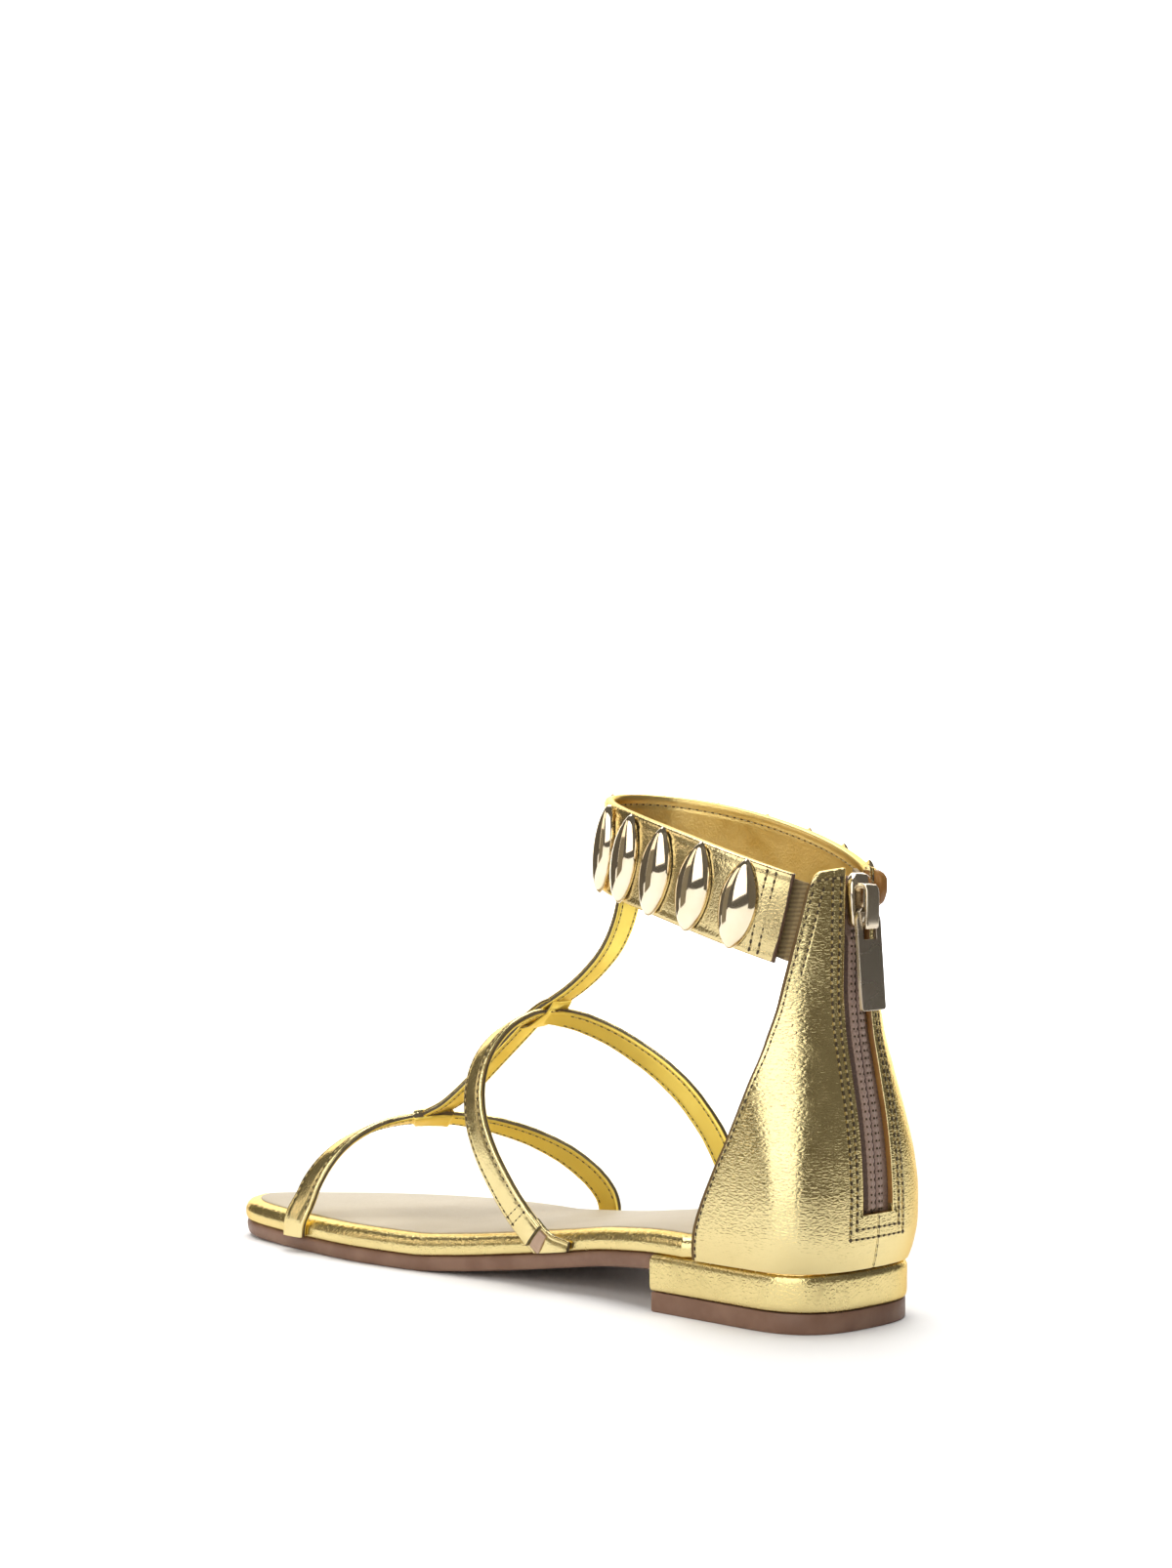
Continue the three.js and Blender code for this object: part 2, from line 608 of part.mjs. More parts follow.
// Zip slider on the closed zip, its bridge along it, and the pull tab that hangs from the bridge.
const SLIDER = { x: 13.5, top: 121.4, bottom: 107.0, half: 4.6, thick: 3.0 };
const BRIDGE = { low: 106.4, high: 118.8, half: 2.2, inner: 8.0, outer: 7.0 };
const HINGE = { x: 9.25, z: 111.6, r: 0.6, hang: 5 }; // the tab hangs a little off plumb, in degrees
const PULL = { half: 4.9, thick: 1.2, bottom: 84.8, slot: 2.75, slotLow: 103.8 };

function makeSlider() {
  const back = SLIDER.x;
  const front = back - SLIDER.thick;
  const plan = [
    [SLIDER.bottom, 3.4, 0.5], [SLIDER.bottom + 1.2, 3.8, 0], [SLIDER.bottom + 5, 4.2, 0],
    [SLIDER.top - 5, SLIDER.half, 0], [SLIDER.top - 2, 4.0, 0.3], [SLIDER.top, 2.8, 1.0],
  ];
  const body = tube(
    plan.map(([z, h, cut]) => [
      [back, HEEL_Y - h, z], [front + 0.8 + cut, HEEL_Y - h, z], [front + cut, HEEL_Y - h + 0.8, z],
      [front + cut, HEEL_Y + h - 0.8, z], [front + 0.8 + cut, HEEL_Y + h, z], [back, HEEL_Y + h, z],
    ]),
  );
  const b = BRIDGE;
  const arch = [
    [front + 0.6, b.low], [b.inner - 0.2, b.low], [b.outer, b.low + 1.5], [b.outer, b.high - 1.8], [b.inner + 0.2, b.high],
    [front + 0.6, b.high],
  ];
  const inner = [
    [front + 0.6, b.low + 1.3], [b.inner + 0.4, b.low + 1.3], [b.inner, b.low + 1.9], [b.inner, b.high - 2.3],
    [b.inner + 0.5, b.high - 1.3], [front + 0.6, b.high - 1.3],
  ];
  const path = arch.map((p, i) => [p, inner[i]]);
  const bridge = tube(
    path.map(([p, q]) => [
      [p[0], HEEL_Y - b.half, p[1]], [p[0], HEEL_Y + b.half, p[1]],
      [q[0], HEEL_Y + b.half, q[1]], [q[0], HEEL_Y - b.half, q[1]],
    ]),
  );
  return body.add(bridge);
}

function makePull() {
  const { half, thick, bottom, slot, slotLow } = PULL;
  const [x0, x1] = [HINGE.x - thick / 2, HINGE.x + thick / 2];
  const shape = (z, h) => [[x0, HEEL_Y - h, z], [x0, HEEL_Y + h, z], [x1, HEEL_Y + h, z], [x1, HEEL_Y - h, z]];
  const plate = tube([
    shape(bottom, half - 0.7), shape(bottom + 0.7, half), shape(HINGE.z - 2.6, half), shape(HINGE.z - 0.6, half - 0.9),
    shape(HINGE.z + HINGE.r, half - 2.2),
  ]);
  const opening = box(x0 - 1, x1 + 1, HEEL_Y - slot, HEEL_Y + slot, slotLow, HINGE.z - HINGE.r);
  const hung = plate.subtract(opening).translate([-HINGE.x, 0, -HINGE.z]).rotate([0, HINGE.hang, 0]);
  return hung.translate([HINGE.x, 0, HINGE.z]);
}

// Folded tape end by height: [z, x of its outer face, width]
const TAPE_END = [[112.4, 10.6, 2.0], [113.6, 9.4, 2.5], [117, 8.6, 2.8], [119.6, 8.7, 2.8], [121.2, 9.6, 2.5], [122, 10.8, 1.8]];
const TAPE_SEAT = 11.4;

// The folded tape end that stands beside the slider on the outer side.
function makeTapeEnd() {
  const y = HEEL_Y - SLIDER.half - 0.6;
  const rings = TAPE_END.map(([z, out, width]) => [[out, y - width, z], [out, y, z], [TAPE_SEAT, y, z], [TAPE_SEAT, y - width, z]]);
  return tube(rings);
}

// Colours
const GOLD = 0xd9bd5b;
const BROWN = 0x7d6150;
const PALE = 0xe5d6be;
const METAL = 0xe6cf9a;

const parts = [
  ["outsole", makeOutsole(), BROWN],
  ["heel_block", makeHeelBlock(), GOLD],
  ["heel_top_lift", makeTopLift(), BROWN],
  ["footbed", makeFootbed(), GOLD],
  ["insole_sock", makeSock(), PALE],
  ["strap_upper", makeUpper(), GOLD],
  ["heel_counter", makeCounter(), GOLD],
  ["ankle_band", makeBand(), GOLD],
  ["gore_inner", makeGore(1), BROWN],
  ["gore_outer", makeGore(-1), BROWN],
  ["zip_tape", makeZipTape(), 0x967869],
  ["zip_slider", makeSlider(), METAL],
  ["zip_pull", makePull(), 0x968773],
  ["zip_tape_end", makeTapeEnd(), BROWN],
  ...STUD_ARCS.map((s, i) => [`stud_${String(i + 1).padStart(2, "0")}`, makeStud(s), METAL]),
];

// The origin goes to the middle of the whole box at floor level.
const bounds = new THREE.Box3();
for (const [, s] of parts) {
  const b = s.boundingBox();
  bounds.expandByPoint(new THREE.Vector3(...b.min));
  bounds.expandByPoint(new THREE.Vector3(...b.max));
}
const shift = [-(bounds.min.x + bounds.max.x) / 2, -(bounds.min.y + bounds.max.y) / 2, 0];

function toMesh(name, s, color) {
  const m = s.translate(shift).getMesh();
  const g = new THREE.BufferGeometry();
  const v = new Float32Array(m.numVert * 3);
  for (let i = 0; i < m.numVert; i++) v.set(m.vertProperties.subarray(i * m.numProp, i * m.numProp + 3), i * 3);
  g.setAttribute("position", new THREE.BufferAttribute(v, 3));
  g.setIndex(new THREE.BufferAttribute(new Uint32Array(m.triVerts), 1));
  const mesh = new THREE.Mesh(g, new THREE.MeshStandardMaterial({ color }));
  mesh.name = name;
  return mesh;
}

const group = new THREE.Group();
for (const [name, s, color] of parts) group.add(toMesh(name, s, color));
export default group;
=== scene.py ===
"""Looks of a woman's flat gladiator sandal in gold metallic leather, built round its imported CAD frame.

Lengths are in millimetres in the shoe's own frame: x from the heel to the toe, y to the inner side, z up.
"""
import math

import bpy
import numpy as np
from mathutils import Matrix, Vector


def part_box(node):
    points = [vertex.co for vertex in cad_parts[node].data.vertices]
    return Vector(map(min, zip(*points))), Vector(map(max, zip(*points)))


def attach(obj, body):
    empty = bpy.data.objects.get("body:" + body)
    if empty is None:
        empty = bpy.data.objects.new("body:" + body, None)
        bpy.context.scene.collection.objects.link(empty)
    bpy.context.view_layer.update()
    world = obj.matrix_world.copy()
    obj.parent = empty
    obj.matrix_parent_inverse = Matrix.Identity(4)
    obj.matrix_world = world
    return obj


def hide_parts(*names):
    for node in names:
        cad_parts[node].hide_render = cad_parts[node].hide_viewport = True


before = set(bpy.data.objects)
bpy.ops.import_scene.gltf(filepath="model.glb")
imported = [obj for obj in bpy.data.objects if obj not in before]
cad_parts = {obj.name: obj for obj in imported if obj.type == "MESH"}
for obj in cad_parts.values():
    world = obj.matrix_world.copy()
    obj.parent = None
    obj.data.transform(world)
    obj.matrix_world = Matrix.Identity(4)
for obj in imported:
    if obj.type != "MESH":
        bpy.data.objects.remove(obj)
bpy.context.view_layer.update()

# Named sizes
MM = 0.001
GAP = 0.3
HEEL_Y = 2.0
OUTSOLE = 4.4
FOOTBED = 6.0
RIM_ROUND = 2.4
SOCK = 0.8
SOCK_INSET = 4.7
TOP_LIFT = 5.5
STRAP_WIDTH = 8.4
STRAP_THICK = 2.2
COUNTER_WALL = 2.0
BAND_WALL = 3.0
BAND_HEIGHT = 25.0
ZIP_BOTTOM = 31.0
ZIP_WIDTH_LOW = 12.4
ZIP_WIDTH_HIGH = 10.4
TAPE_DEPTH = 2.75
ZIP_TOP = 120.6
CHAIN_TOP = 104.0
STUD_LENGTH, STUD_WIDTH, STUD_HEIGHT, STUD_SLANT = 25.4, 10.4, 3.3, 3.6
STITCH_PITCH = 2.15
STRAP_PITCH = 2.3
SEAM_THREAD, SEAM_HOLE = (0.21, 0.26, 0.22), (0.66, 0.34, 0.17)
TOE_X = 246.0
SEAT_REAR = 8.8

# The frame's origin in the shoe's own millimetres
ORIGIN = np.array([
    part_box("footbed")[0].x / MM - SEAT_REAR,
    (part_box("ankle_band")[0].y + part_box("ankle_band")[1].y) / 2 / MM - HEEL_Y,
    0.0,
])


# Curves and outlines
def curve(rows, col=1):
    """A smooth curve through the rows of a table: monotone cubic between neighbours."""
    x = np.array([r[0] for r in rows], float)
    y = np.array([r[col] for r in rows], float)
    d = np.diff(y) / np.diff(x)
    total = d[:-1] + d[1:]
    rising = d[:-1] * d[1:] > 0
    inner = np.where(rising, 2 * d[:-1] * d[1:] / np.where(rising, total, 1.0), 0.0)
    m = np.concatenate([d[:1], inner, d[-1:]])

    def at(v):
        q = np.clip(v, x[0], x[-1])
        i = np.clip(np.searchsorted(x, q) - 1, 0, len(x) - 2)
        h = x[i + 1] - x[i]
        t = (q - x[i]) / h
        return (y[i] * (1 + 2 * t) * (1 - t) ** 2 + m[i] * h * t * (1 - t) ** 2
                + y[i + 1] * t * t * (3 - 2 * t) + m[i + 1] * h * t * t * (t - 1))
    return at


def resample(points, count, bias=1.0):
    """Points at equal spacing along a polyline; bias above 1 crowds them to its start."""
    p = np.asarray(points, float)
    s = np.concatenate([[0], np.cumsum(np.linalg.norm(np.diff(p, axis=0), axis=1))])
    want = s[-1] * np.linspace(0, 1, count) ** bias
    return np.stack([np.interp(want, s, p[:, k]) for k in range(p.shape[1])], axis=1)


# Sole plan, share of the length from the heel: [share, inner side y, outer side y]
PLAN = [
    [0.2, 28.2, -24.6], [0.26, 28.0, -25.6], [0.34, 26.0, -29.0], [0.42, 24.8, -32.8],
    [0.5, 26.0, -36.6], [0.58, 30.0, -40.0], [0.66, 33.6, -41.0], [0.74, 35.2, -38.4],
    [0.82, 34.0, -31.6], [0.88, 32.2, -22.6], [0.92, 30.8, -13.8], [0.95, 29.2, -5.2],
    [0.975, 26.2, 2.8], [0.99, 22.2, 9.2], [1.0, 15.8, 15.6],
]
# Underside of the outsole above the floor: [share, z]
UNDER = [[0.0, 11.6], [0.24, 11.5], [0.33, 9.8], [0.42, 6.4], [0.5, 3.4],
         [0.58, 1.1], [0.64, 0], [0.84, 0], [0.92, 0.3], [1.0, 1.2]]
HEEL = dict(rear=5.9, half=26.2, arc=24, power=2.8)
HEEL_FRONT = 64.0
SEAT = dict(rear=SEAT_REAR, half=24.4, arc=20, power=2.8)
inner_y = curve(PLAN, 1)
outer_y = curve(PLAN, 2)
under_at = curve(UNDER, 1)


def z_under(x):
    return under_at(np.clip(np.asarray(x, float) / TOE_X, 0, 1))


def z_footbed(x):
    return z_under(x) + OUTSOLE + GAP


def z_tread(x):
    return z_footbed(x) + FOOTBED


def rear_half(rear, half, arc, power, side, count):
    """Superellipse points from the middle of the back out to one side."""
    e = 2 / power
    t = np.linspace(0, math.pi / 2, count)
    return np.stack([rear + arc - arc * np.cos(t).clip(0) ** e,
                     HEEL_Y + side * half * np.sin(t) ** e], axis=1)


def fore_side(side, back_x, count=400):
    x = TOE_X + (back_x - TOE_X) * np.linspace(0, 1, count) ** 1.6
    return np.stack([x, (inner_y if side > 0 else outer_y)(x / TOE_X)], axis=1)


def footbed_side(side):
    fore = fore_side(side, 52)
    edge = HEEL_Y + side * SEAT["half"]
    joint = [[49.5, fore[-1][1] + 0.7 * (edge - fore[-1][1])], [47, edge]]
    seat = rear_half(**SEAT, side=side, count=80)[::-1]
    return np.concatenate([fore, joint, seat])


def heel_side(side):
    back = rear_half(**HEEL, side=side, count=80)[::-1]
    return np.concatenate([[[HEEL_FRONT, HEEL_Y + side * (HEEL["half"] - 0.4)]], back])


def inset_outline(sides, d, count, bias=1.0, blunt=0.0):
    """A closed outline moved inwards by d: count points a side, the sides meeting at both ends."""
    whole = np.concatenate([sides[0], sides[1][::-1]])
    tangent = np.roll(whole, -1, axis=0) - np.roll(whole, 1, axis=0)
    tangent /= np.linalg.norm(tangent, axis=1).clip(1e-9)[:, None]
    moved = whole + d * np.stack([-tangent[:, 1], tangent[:, 0]], axis=1)
    half = len(sides[0])
    if d > 0.3:
        near = np.array([np.min(np.linalg.norm(whole - q, axis=1)) for q in moved])
        keep = near > 0.93 * d
    else:
        keep = np.ones(len(moved), bool)
    inner = moved[:half][keep[:half]]
    outer = moved[half:][::-1][keep[half:][::-1]]
    if blunt:
        tip = (inner[0] + outer[0]) / 2
        inner = np.concatenate([[tip], inner])
        outer = np.concatenate([[tip + [0, -0.02]], outer])
    a, b = resample(inner, count, bias), resample(outer, count, bias)
    return np.concatenate([a, b[::-1]])


# Meshes
def grid_faces(nu, nv, closed_u=False, closed_v=False):
    u, v = np.meshgrid(np.arange(nu if closed_u else nu - 1),
                       np.arange(nv if closed_v else nv - 1), indexing="ij")
    u, v = u.ravel(), v.ravel()
    u2, v2 = (u + 1) % nu, (v + 1) % nv
    return np.stack([u * nv + v, u2 * nv + v, u2 * nv + v2, u * nv + v2], axis=1)


def strip_cap(first, n, flip):
    """Quads across a ring that runs down one side and back up the other."""
    i = np.arange(n // 2 - 1)
    quads = np.stack([i, i + 1, n - 2 - i, n - 1 - i], axis=1) + first
    return quads[:, ::-1] if flip else quads


class Build:
    """Collects the closed shells of one piece, each face with its material number."""

    def __init__(self):
        self.verts, self.faces, self.mats, self.count = [], [], [], 0

    def add(self, verts, *groups):
        """One closed shell: its vertices, then pairs of faces and their material numbers."""
        verts = np.asarray(verts, float).reshape(-1, 3)
        groups = [(np.asarray(f, int), np.broadcast_to(np.asarray(m, int), len(f))) for f, m in groups]
        volume = 0.0
        for f, _ in groups:
            for k in range(1, f.shape[1] - 1):
                a, b, c = verts[f[:, 0]], verts[f[:, k]], verts[f[:, k + 1]]
                volume += np.einsum("ij,ij->", a, np.cross(b, c))
        used = np.zeros(len(verts), bool)
        for f, _ in groups:
            used[f.ravel()] = True
        index = np.cumsum(used) - 1 + self.count
        for f, m in groups:
            self.faces.append(index[f] if volume >= 0 else index[f[:, ::-1]])
            self.mats.append(m)
        self.verts.append(verts[used])
        self.count += int(used.sum())
        return self

    def object(self, name, materials, slot, body="shoe", replaces=(), auto=None):
        verts = (np.concatenate(self.verts) + ORIGIN) * MM
        mesh = bpy.data.meshes.new(name)
        loops = np.concatenate([f.ravel() for f in self.faces])
        sizes = np.concatenate([np.full(len(f), f.shape[1]) for f in self.faces])
        mesh.vertices.add(len(verts))
        mesh.vertices.foreach_set("co", verts.astype(np.float32).ravel())
        mesh.loops.add(len(loops))
        mesh.loops.foreach_set("vertex_index", loops.astype(np.int32))
        mesh.polygons.add(len(sizes))
        starts = np.concatenate([[0], np.cumsum(sizes)[:-1]])
        mesh.polygons.foreach_set("loop_start", starts.astype(np.int32))
        mesh.polygons.foreach_set("material_index", np.concatenate(self.mats).astype(np.int32))
        mesh.polygons.foreach_set("use_smooth", np.ones(len(sizes), bool))
        mesh.update(calc_edges=True)
        if auto is not None:
            mesh.set_sharp_from_angle(angle=math.radians(auto))
        for m in materials:
            mesh.materials.append(m)
        piece = bpy.data.objects.new(name, mesh)
        bpy.context.scene.collection.objects.link(piece)
        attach(piece, body)
        if replaces:
            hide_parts(*replaces)
        return piece


def sweep(build, rings, mat=0, caps=(0, 0), closed_path=False):
    """Adds a shell of rings set one after another, with strips of quads across the first and the last."""
    rings = np.asarray(rings, float)
    nu, nv = rings.shape[:2]
    sides = grid_faces(nu, nv, closed_path, True)
    mats = np.tile(np.broadcast_to(np.asarray(mat), nv), len(sides) // nv)
    groups = [(sides, mats)]
    if not closed_path:
        groups += [(strip_cap(0, nv, False), caps[0]), (strip_cap((nu - 1) * nv, nv, True), caps[1])]
    return build.add(rings, *groups)


def thicken(build, outer, inner, faces, mats=(0, 0, 0)):
    """Adds a wall between two sheets of the same faces; mats: outer sheet, rim, inner sheet."""
    n = len(outer)
    faces = np.asarray(faces, int)
    ahead = np.stack([faces, np.roll(faces, -1, axis=1)], axis=2).reshape(-1, 2)
    open_edge = ~np.isin(ahead[:, 0] * n + ahead[:, 1], ahead[:, 1] * n + ahead[:, 0])
    a, b = ahead[open_edge].T
    rim = np.stack([b, a, a + n, b + n], axis=1)
    rim_mat = mats[1](outer[a]) if callable(mats[1]) else mats[1]
    return build.add(np.concatenate([outer, inner]), (faces, mats[0]), (rim, rim_mat),
                     (faces[:, ::-1] + n, mats[2]))


def smooth_profile(points, count):
    """Catmull-Rom through a few profile points."""
    p = np.asarray(points, float)
    p = np.concatenate([[2 * p[0] - p[1]], p, [2 * p[-1] - p[-2]]])
    out = []
    for t in np.linspace(0, len(points) - 1, count):
        i = min(int(t), len(points) - 2)
        u = t - i
        a, b, c, d = p[i:i + 4]
        bend, twist = 2 * a - 5 * b + 4 * c - d, 3 * b - a - 3 * c + d
        out.append(0.5 * (2 * b + (c - a) * u + bend * u ** 2 + twist * u ** 3))
    return np.array(out)


# Materials
class Shader:
    """A Principled material and short calls for the nodes that feed it."""

    def __init__(self, name, **sockets):
        self.material = bpy.data.materials.new(name)
        self.material.use_nodes = True
        self.tree = self.material.node_tree
        self.bsdf = self.tree.nodes["Principled BSDF"]
        for key, value in sockets.items():
            self.bsdf.inputs[key.replace("_", " ")].default_value = value
        self.place = self.node("ShaderNodeTexCoord").outputs["Object"]

    def node(self, kind, **settings):
        made = self.tree.nodes.new(kind)
        for key, value in settings.items():
            setattr(made, key, value)
        return made

    def link(self, source, node, socket):
        self.tree.links.new(source, node.inputs[socket])

    def scaled(self, x, y, z):
        m = self.node("ShaderNodeMapping")
        m.inputs["Scale"].default_value = (x, y, z)
        self.link(self.place, m, "Vector")
        return m.outputs["Vector"]

    def noise(self, scale, detail=3.0, rough=0.55, distortion=0.0, at=None):
        n = self.node("ShaderNodeTexNoise")
        n.inputs["Scale"].default_value = scale
        n.inputs["Detail"].default_value = detail
        n.inputs["Roughness"].default_value = rough
        n.inputs["Distortion"].default_value = distortion
        self.link(at or self.place, n, "Vector")
        return n.outputs["Fac"]

    def cells(self, scale, at=None):
        n = self.node("ShaderNodeTexVoronoi", feature="DISTANCE_TO_EDGE")
        n.inputs["Scale"].default_value = scale
        self.link(at or self.place, n, "Vector")
        return n.outputs["Distance"]

    def remap(self, source, low, high, to_low=0.0, to_high=1.0):
        n = self.node("ShaderNodeMapRange", interpolation_type="SMOOTHSTEP")
        for key, value in zip(("From Min", "From Max", "To Min", "To Max"), (low, high, to_low, to_high)):
            n.inputs[key].default_value = value
        self.link(source, n, "Value")
        return n.outputs["Result"]

    def math(self, operation, a, b):
        n = self.node("ShaderNodeMath", operation=operation)
        for i, v in enumerate((a, b)):
            if isinstance(v, (int, float)):
                n.inputs[i].default_value = v
            else:
                self.tree.links.new(v, n.inputs[i])
        return n.outputs["Value"]

    def mix(self, factor, a, b):
        n = self.node("ShaderNodeMix", data_type="RGBA")
        self.tree.links.new(factor, n.inputs["Factor"])
        for socket, v in ((n.inputs[6], a), (n.inputs[7], b)):
            if isinstance(v, tuple):
                socket.default_value = (*v, 1.0)
            else:
                self.tree.links.new(v, socket)
        return n.outputs[2]

    def bump(self, height, distance, under=None):
        n = self.node("ShaderNodeBump")
        n.inputs["Distance"].default_value = distance
        n.inputs["Strength"].default_value = 1.0
        self.link(height, n, "Height")
        if under is not None:
            self.link(under, n, "Normal")
        return n.outputs["Normal"]

    def finish(self, color, roughness, normal=None):
        for socket, source in (("Base Color", color), ("Roughness", roughness), ("Normal", normal)):
            if source is not None:
                self.link(source, self.bsdf, socket)
        return self.material


FOIL_EDGE_ON = (0.84, 0.64, 0.36, 1.0)


def foil_leather(name, light, deep, rough, grain=1.0, wave=1.0, stretch=(1, 1, 1)):
    """Metal foil over leather: fine pebbled wrinkles, a soft unevenness and slightly worn patches."""
    s = Shader(name, Metallic=0.97, IOR=1.5, Coat_Weight=0.1, Coat_Roughness=0.12, Specular_Tint=FOIL_EDGE_ON)
    at = s.scaled(*stretch)
    fine = s.noise(1150, 3, 0.62, 0.8, at)
    pebble = s.remap(s.cells(820, at=at), 0.0, 0.3)
    broad = s.noise(120, 2, 0.5)
    height = s.math("ADD", s.math("MULTIPLY", pebble, 0.5), fine)
    normal = s.bump(broad, 0.00009 * wave)
    normal = s.bump(height, 0.00003 * grain, normal)
    patch = s.remap(s.noise(40, 4, 0.6), 0.35, 0.7)
    color = s.mix(patch, light, deep)
    roughness = s.remap(s.noise(220, 3), 0.3, 0.7, rough - 0.05, rough + 0.07)
    return s.finish(color, roughness, normal)


def edge_paint(name, light, deep, rough, shine=0.5):
    s = Shader(name, Metallic=0.0, IOR=1.35, Specular_IOR_Level=shine)
    n = s.noise(700, 3)
    color = s.mix(s.remap(s.noise(90, 3), 0.3, 0.7), light, deep)
    return s.finish(color, s.remap(n, 0.3, 0.7, rough - 0.05, rough + 0.08), s.bump(n, 0.00004))


def sole_leather():
    s = Shader("sole_tread", Metallic=0.0)
    n = s.noise(900, 4, at=s.scaled(0.4, 1, 1))
    color = s.mix(s.remap(s.noise(60, 4), 0.3, 0.75), (0.2, 0.125, 0.085), (0.27, 0.17, 0.12))
    return s.finish(color, s.remap(n, 0.3, 0.7, 0.5, 0.66), s.bump(n, 0.00008))


def sock_leather():
    s = Shader("sock_leather", Metallic=0.05, IOR=1.2)
    pores = s.remap(s.cells(900), 0.0, 0.25)
    fine = s.noise(1300, 3)
    height = s.math("ADD", s.math("MULTIPLY", pores, 0.5), s.math("MULTIPLY", fine, 0.6))
    color = s.mix(s.remap(s.noise(28, 3), 0.35, 0.7), (0.49, 0.425, 0.315), (0.445, 0.38, 0.275))
    return s.finish(color, s.remap(fine, 0.3, 0.7, 0.5, 0.62), s.bump(height, 0.00004))


def woven_tape(name, deep, light):
    s = Shader(name, Metallic=0.0, Sheen_Weight=0.2, Sheen_Roughness=0.4)
    ribs = s.node("ShaderNodeTexWave", wave_type="BANDS", bands_direction="Z")
    ribs.inputs["Scale"].default_value = 420
    ribs.inputs["Distortion"].default_value = 1.2
    s.link(s.place, ribs, "Vector")
    fine = s.noise(2200, 3)
    color = s.mix(s.remap(fine, 0.25, 0.75), deep, light)
    return s.finish(color, s.remap(fine, 0.2, 0.8, 0.55, 0.75), s.bump(ribs.outputs["Fac"], 0.00008))


def elastic_rib():
    s = Shader("elastic_rib", Metallic=0.15, Sheen_Weight=0.2)
    ribs = s.node("ShaderNodeTexWave", wave_type="BANDS", bands_direction="Z")
    ribs.inputs["Scale"].default_value = 260
    s.link(s.place, ribs, "Vector")
    color = s.mix(ribs.outputs["Fac"], (0.19, 0.135, 0.06), (0.3, 0.22, 0.1))
    return s.finish(color, s.remap(s.noise(900), 0.3, 0.7, 0.5, 0.7), s.bump(ribs.outputs["Fac"], 0.00015))


def plated(name, light, deep, rough, scratch=0.35):
    """Polished or satin plating with faint hairlines and a little haze."""
    s = Shader(name, Metallic=1.0)
    hair = s.noise(900, 5, 0.7, at=s.scaled(1, 1, 0.08))
    haze = s.noise(120, 3)
    color = s.mix(s.remap(haze, 0.35, 0.7), light, deep)
    roughness = s.remap(haze, 0.3, 0.7, rough, rough + 0.05)
    return s.finish(color, roughness, s.bump(hair, 0.00001 * scratch))


# Nearly black matte for the pods on the needle holes: painted shade inside the holes.
def painted_hole_shade():
    s = Shader("needle_hole_shade", Metallic=0.2)
    color = s.mix(s.noise(800), (0.045, 0.03, 0.012), (0.075, 0.05, 0.022))
    return s.finish(color, s.remap(s.noise(600), 0.3, 0.7, 0.55, 0.7))


def thread(name, deep, light):
    s = Shader(name, Metallic=0.25, Sheen_Weight=0.3)
    twist = s.noise(2600, 2, at=s.scaled(1, 1, 0.5))
    color = s.mix(twist, deep, light)
    return s.finish(color, s.remap(twist, 0.3, 0.7, 0.34, 0.5), s.bump(twist, 0.00005))


GOLD = foil_leather("gold_foil", (0.77, 0.65, 0.33), (0.735, 0.61, 0.3), 0.18, 2.7, 0.5, (0.6, 0.6, 1.4))
# The band's foil is a darker copy of the gold: painted shade on the band's face, with painted dark
# reflections of the studs between them.
GOLD_BAND_SHADED = foil_leather("gold_foil_band_painted_shade", (0.72, 0.59, 0.30), (0.60, 0.48, 0.235), 0.2, 1.6, 1.1)
GOLD_STRAP = foil_leather("gold_foil_strap", (0.77, 0.65, 0.33), (0.73, 0.605, 0.295), 0.2, 1.0, 0.4)
GOLD_SOLE = foil_leather("gold_foil_rim", (0.75, 0.62, 0.29), (0.69, 0.565, 0.255), 0.22, 1.8, 0.6)
LINING = foil_leather("gold_lining", (0.95, 0.75, 0.17), (0.9, 0.69, 0.14), 0.36, 0.7, 0.4)
BAND_LINING = foil_leather("band_lining", (0.80, 0.61, 0.24), (0.72, 0.53, 0.18), 0.36, 1.6, 0.6)
EDGE = edge_paint("edge_paint", (0.185, 0.1, 0.064), (0.235, 0.135, 0.09), 0.42)
STRAP_EDGE = edge_paint("strap_edge_paint", (0.075, 0.055, 0.03), (0.12, 0.09, 0.05), 0.36)
RAW_EDGE = edge_paint("raw_edge", (0.12, 0.075, 0.035), (0.16, 0.105, 0.05), 0.6, 0.0)
PATENT = edge_paint("patent_fold", (0.34, 0.17, 0.045), (0.26, 0.12, 0.035), 0.2)
FOLD_LEATHER = edge_paint("fold_leather", (0.15, 0.09, 0.06), (0.1, 0.06, 0.04), 0.34)
BARE_LINING = edge_paint("bare_lining", (0.40, 0.27, 0.19), (0.5, 0.35, 0.25), 0.5)
TREAD = sole_leather()
SOCK_LEATHER = sock_leather()
TAPE = woven_tape("tape_weave", (0.3, 0.2, 0.155), (0.44, 0.31, 0.25))
TAPE_SHADE = woven_tape("tape_shade", (0.09, 0.055, 0.042), (0.15, 0.095, 0.075))
ELASTIC = elastic_rib()
STUD_METAL = plated("stud_plating", (0.90, 0.79, 0.60), (0.86, 0.74, 0.53), 0.035, 0.2)
SLIDER_METAL = plated("slider_plating", (0.86, 0.77, 0.62), (0.78, 0.68, 0.52), 0.12)
PEWTER = plated("pull_plating", (0.56, 0.50, 0.41), (0.48, 0.42, 0.34), 0.24, 0.3)
HOLE_SHADE = painted_hole_shade()
THREAD_GOLD = thread("thread_gold", (0.36, 0.27, 0.1), (0.56, 0.44, 0.19))
CHAIN_THREAD = thread("chain_thread", (0.32, 0.21, 0.165), (0.46, 0.33, 0.27))


# Sole, heel and footbed
FOOT_SIDES = (footbed_side(1), footbed_side(-1))
SOLE_SIDES = (fore_side(1, HEEL_FRONT - 0.4), fore_side(-1, HEEL_FRONT - 0.4))
HEEL_SIDES = (heel_side(1), heel_side(-1))


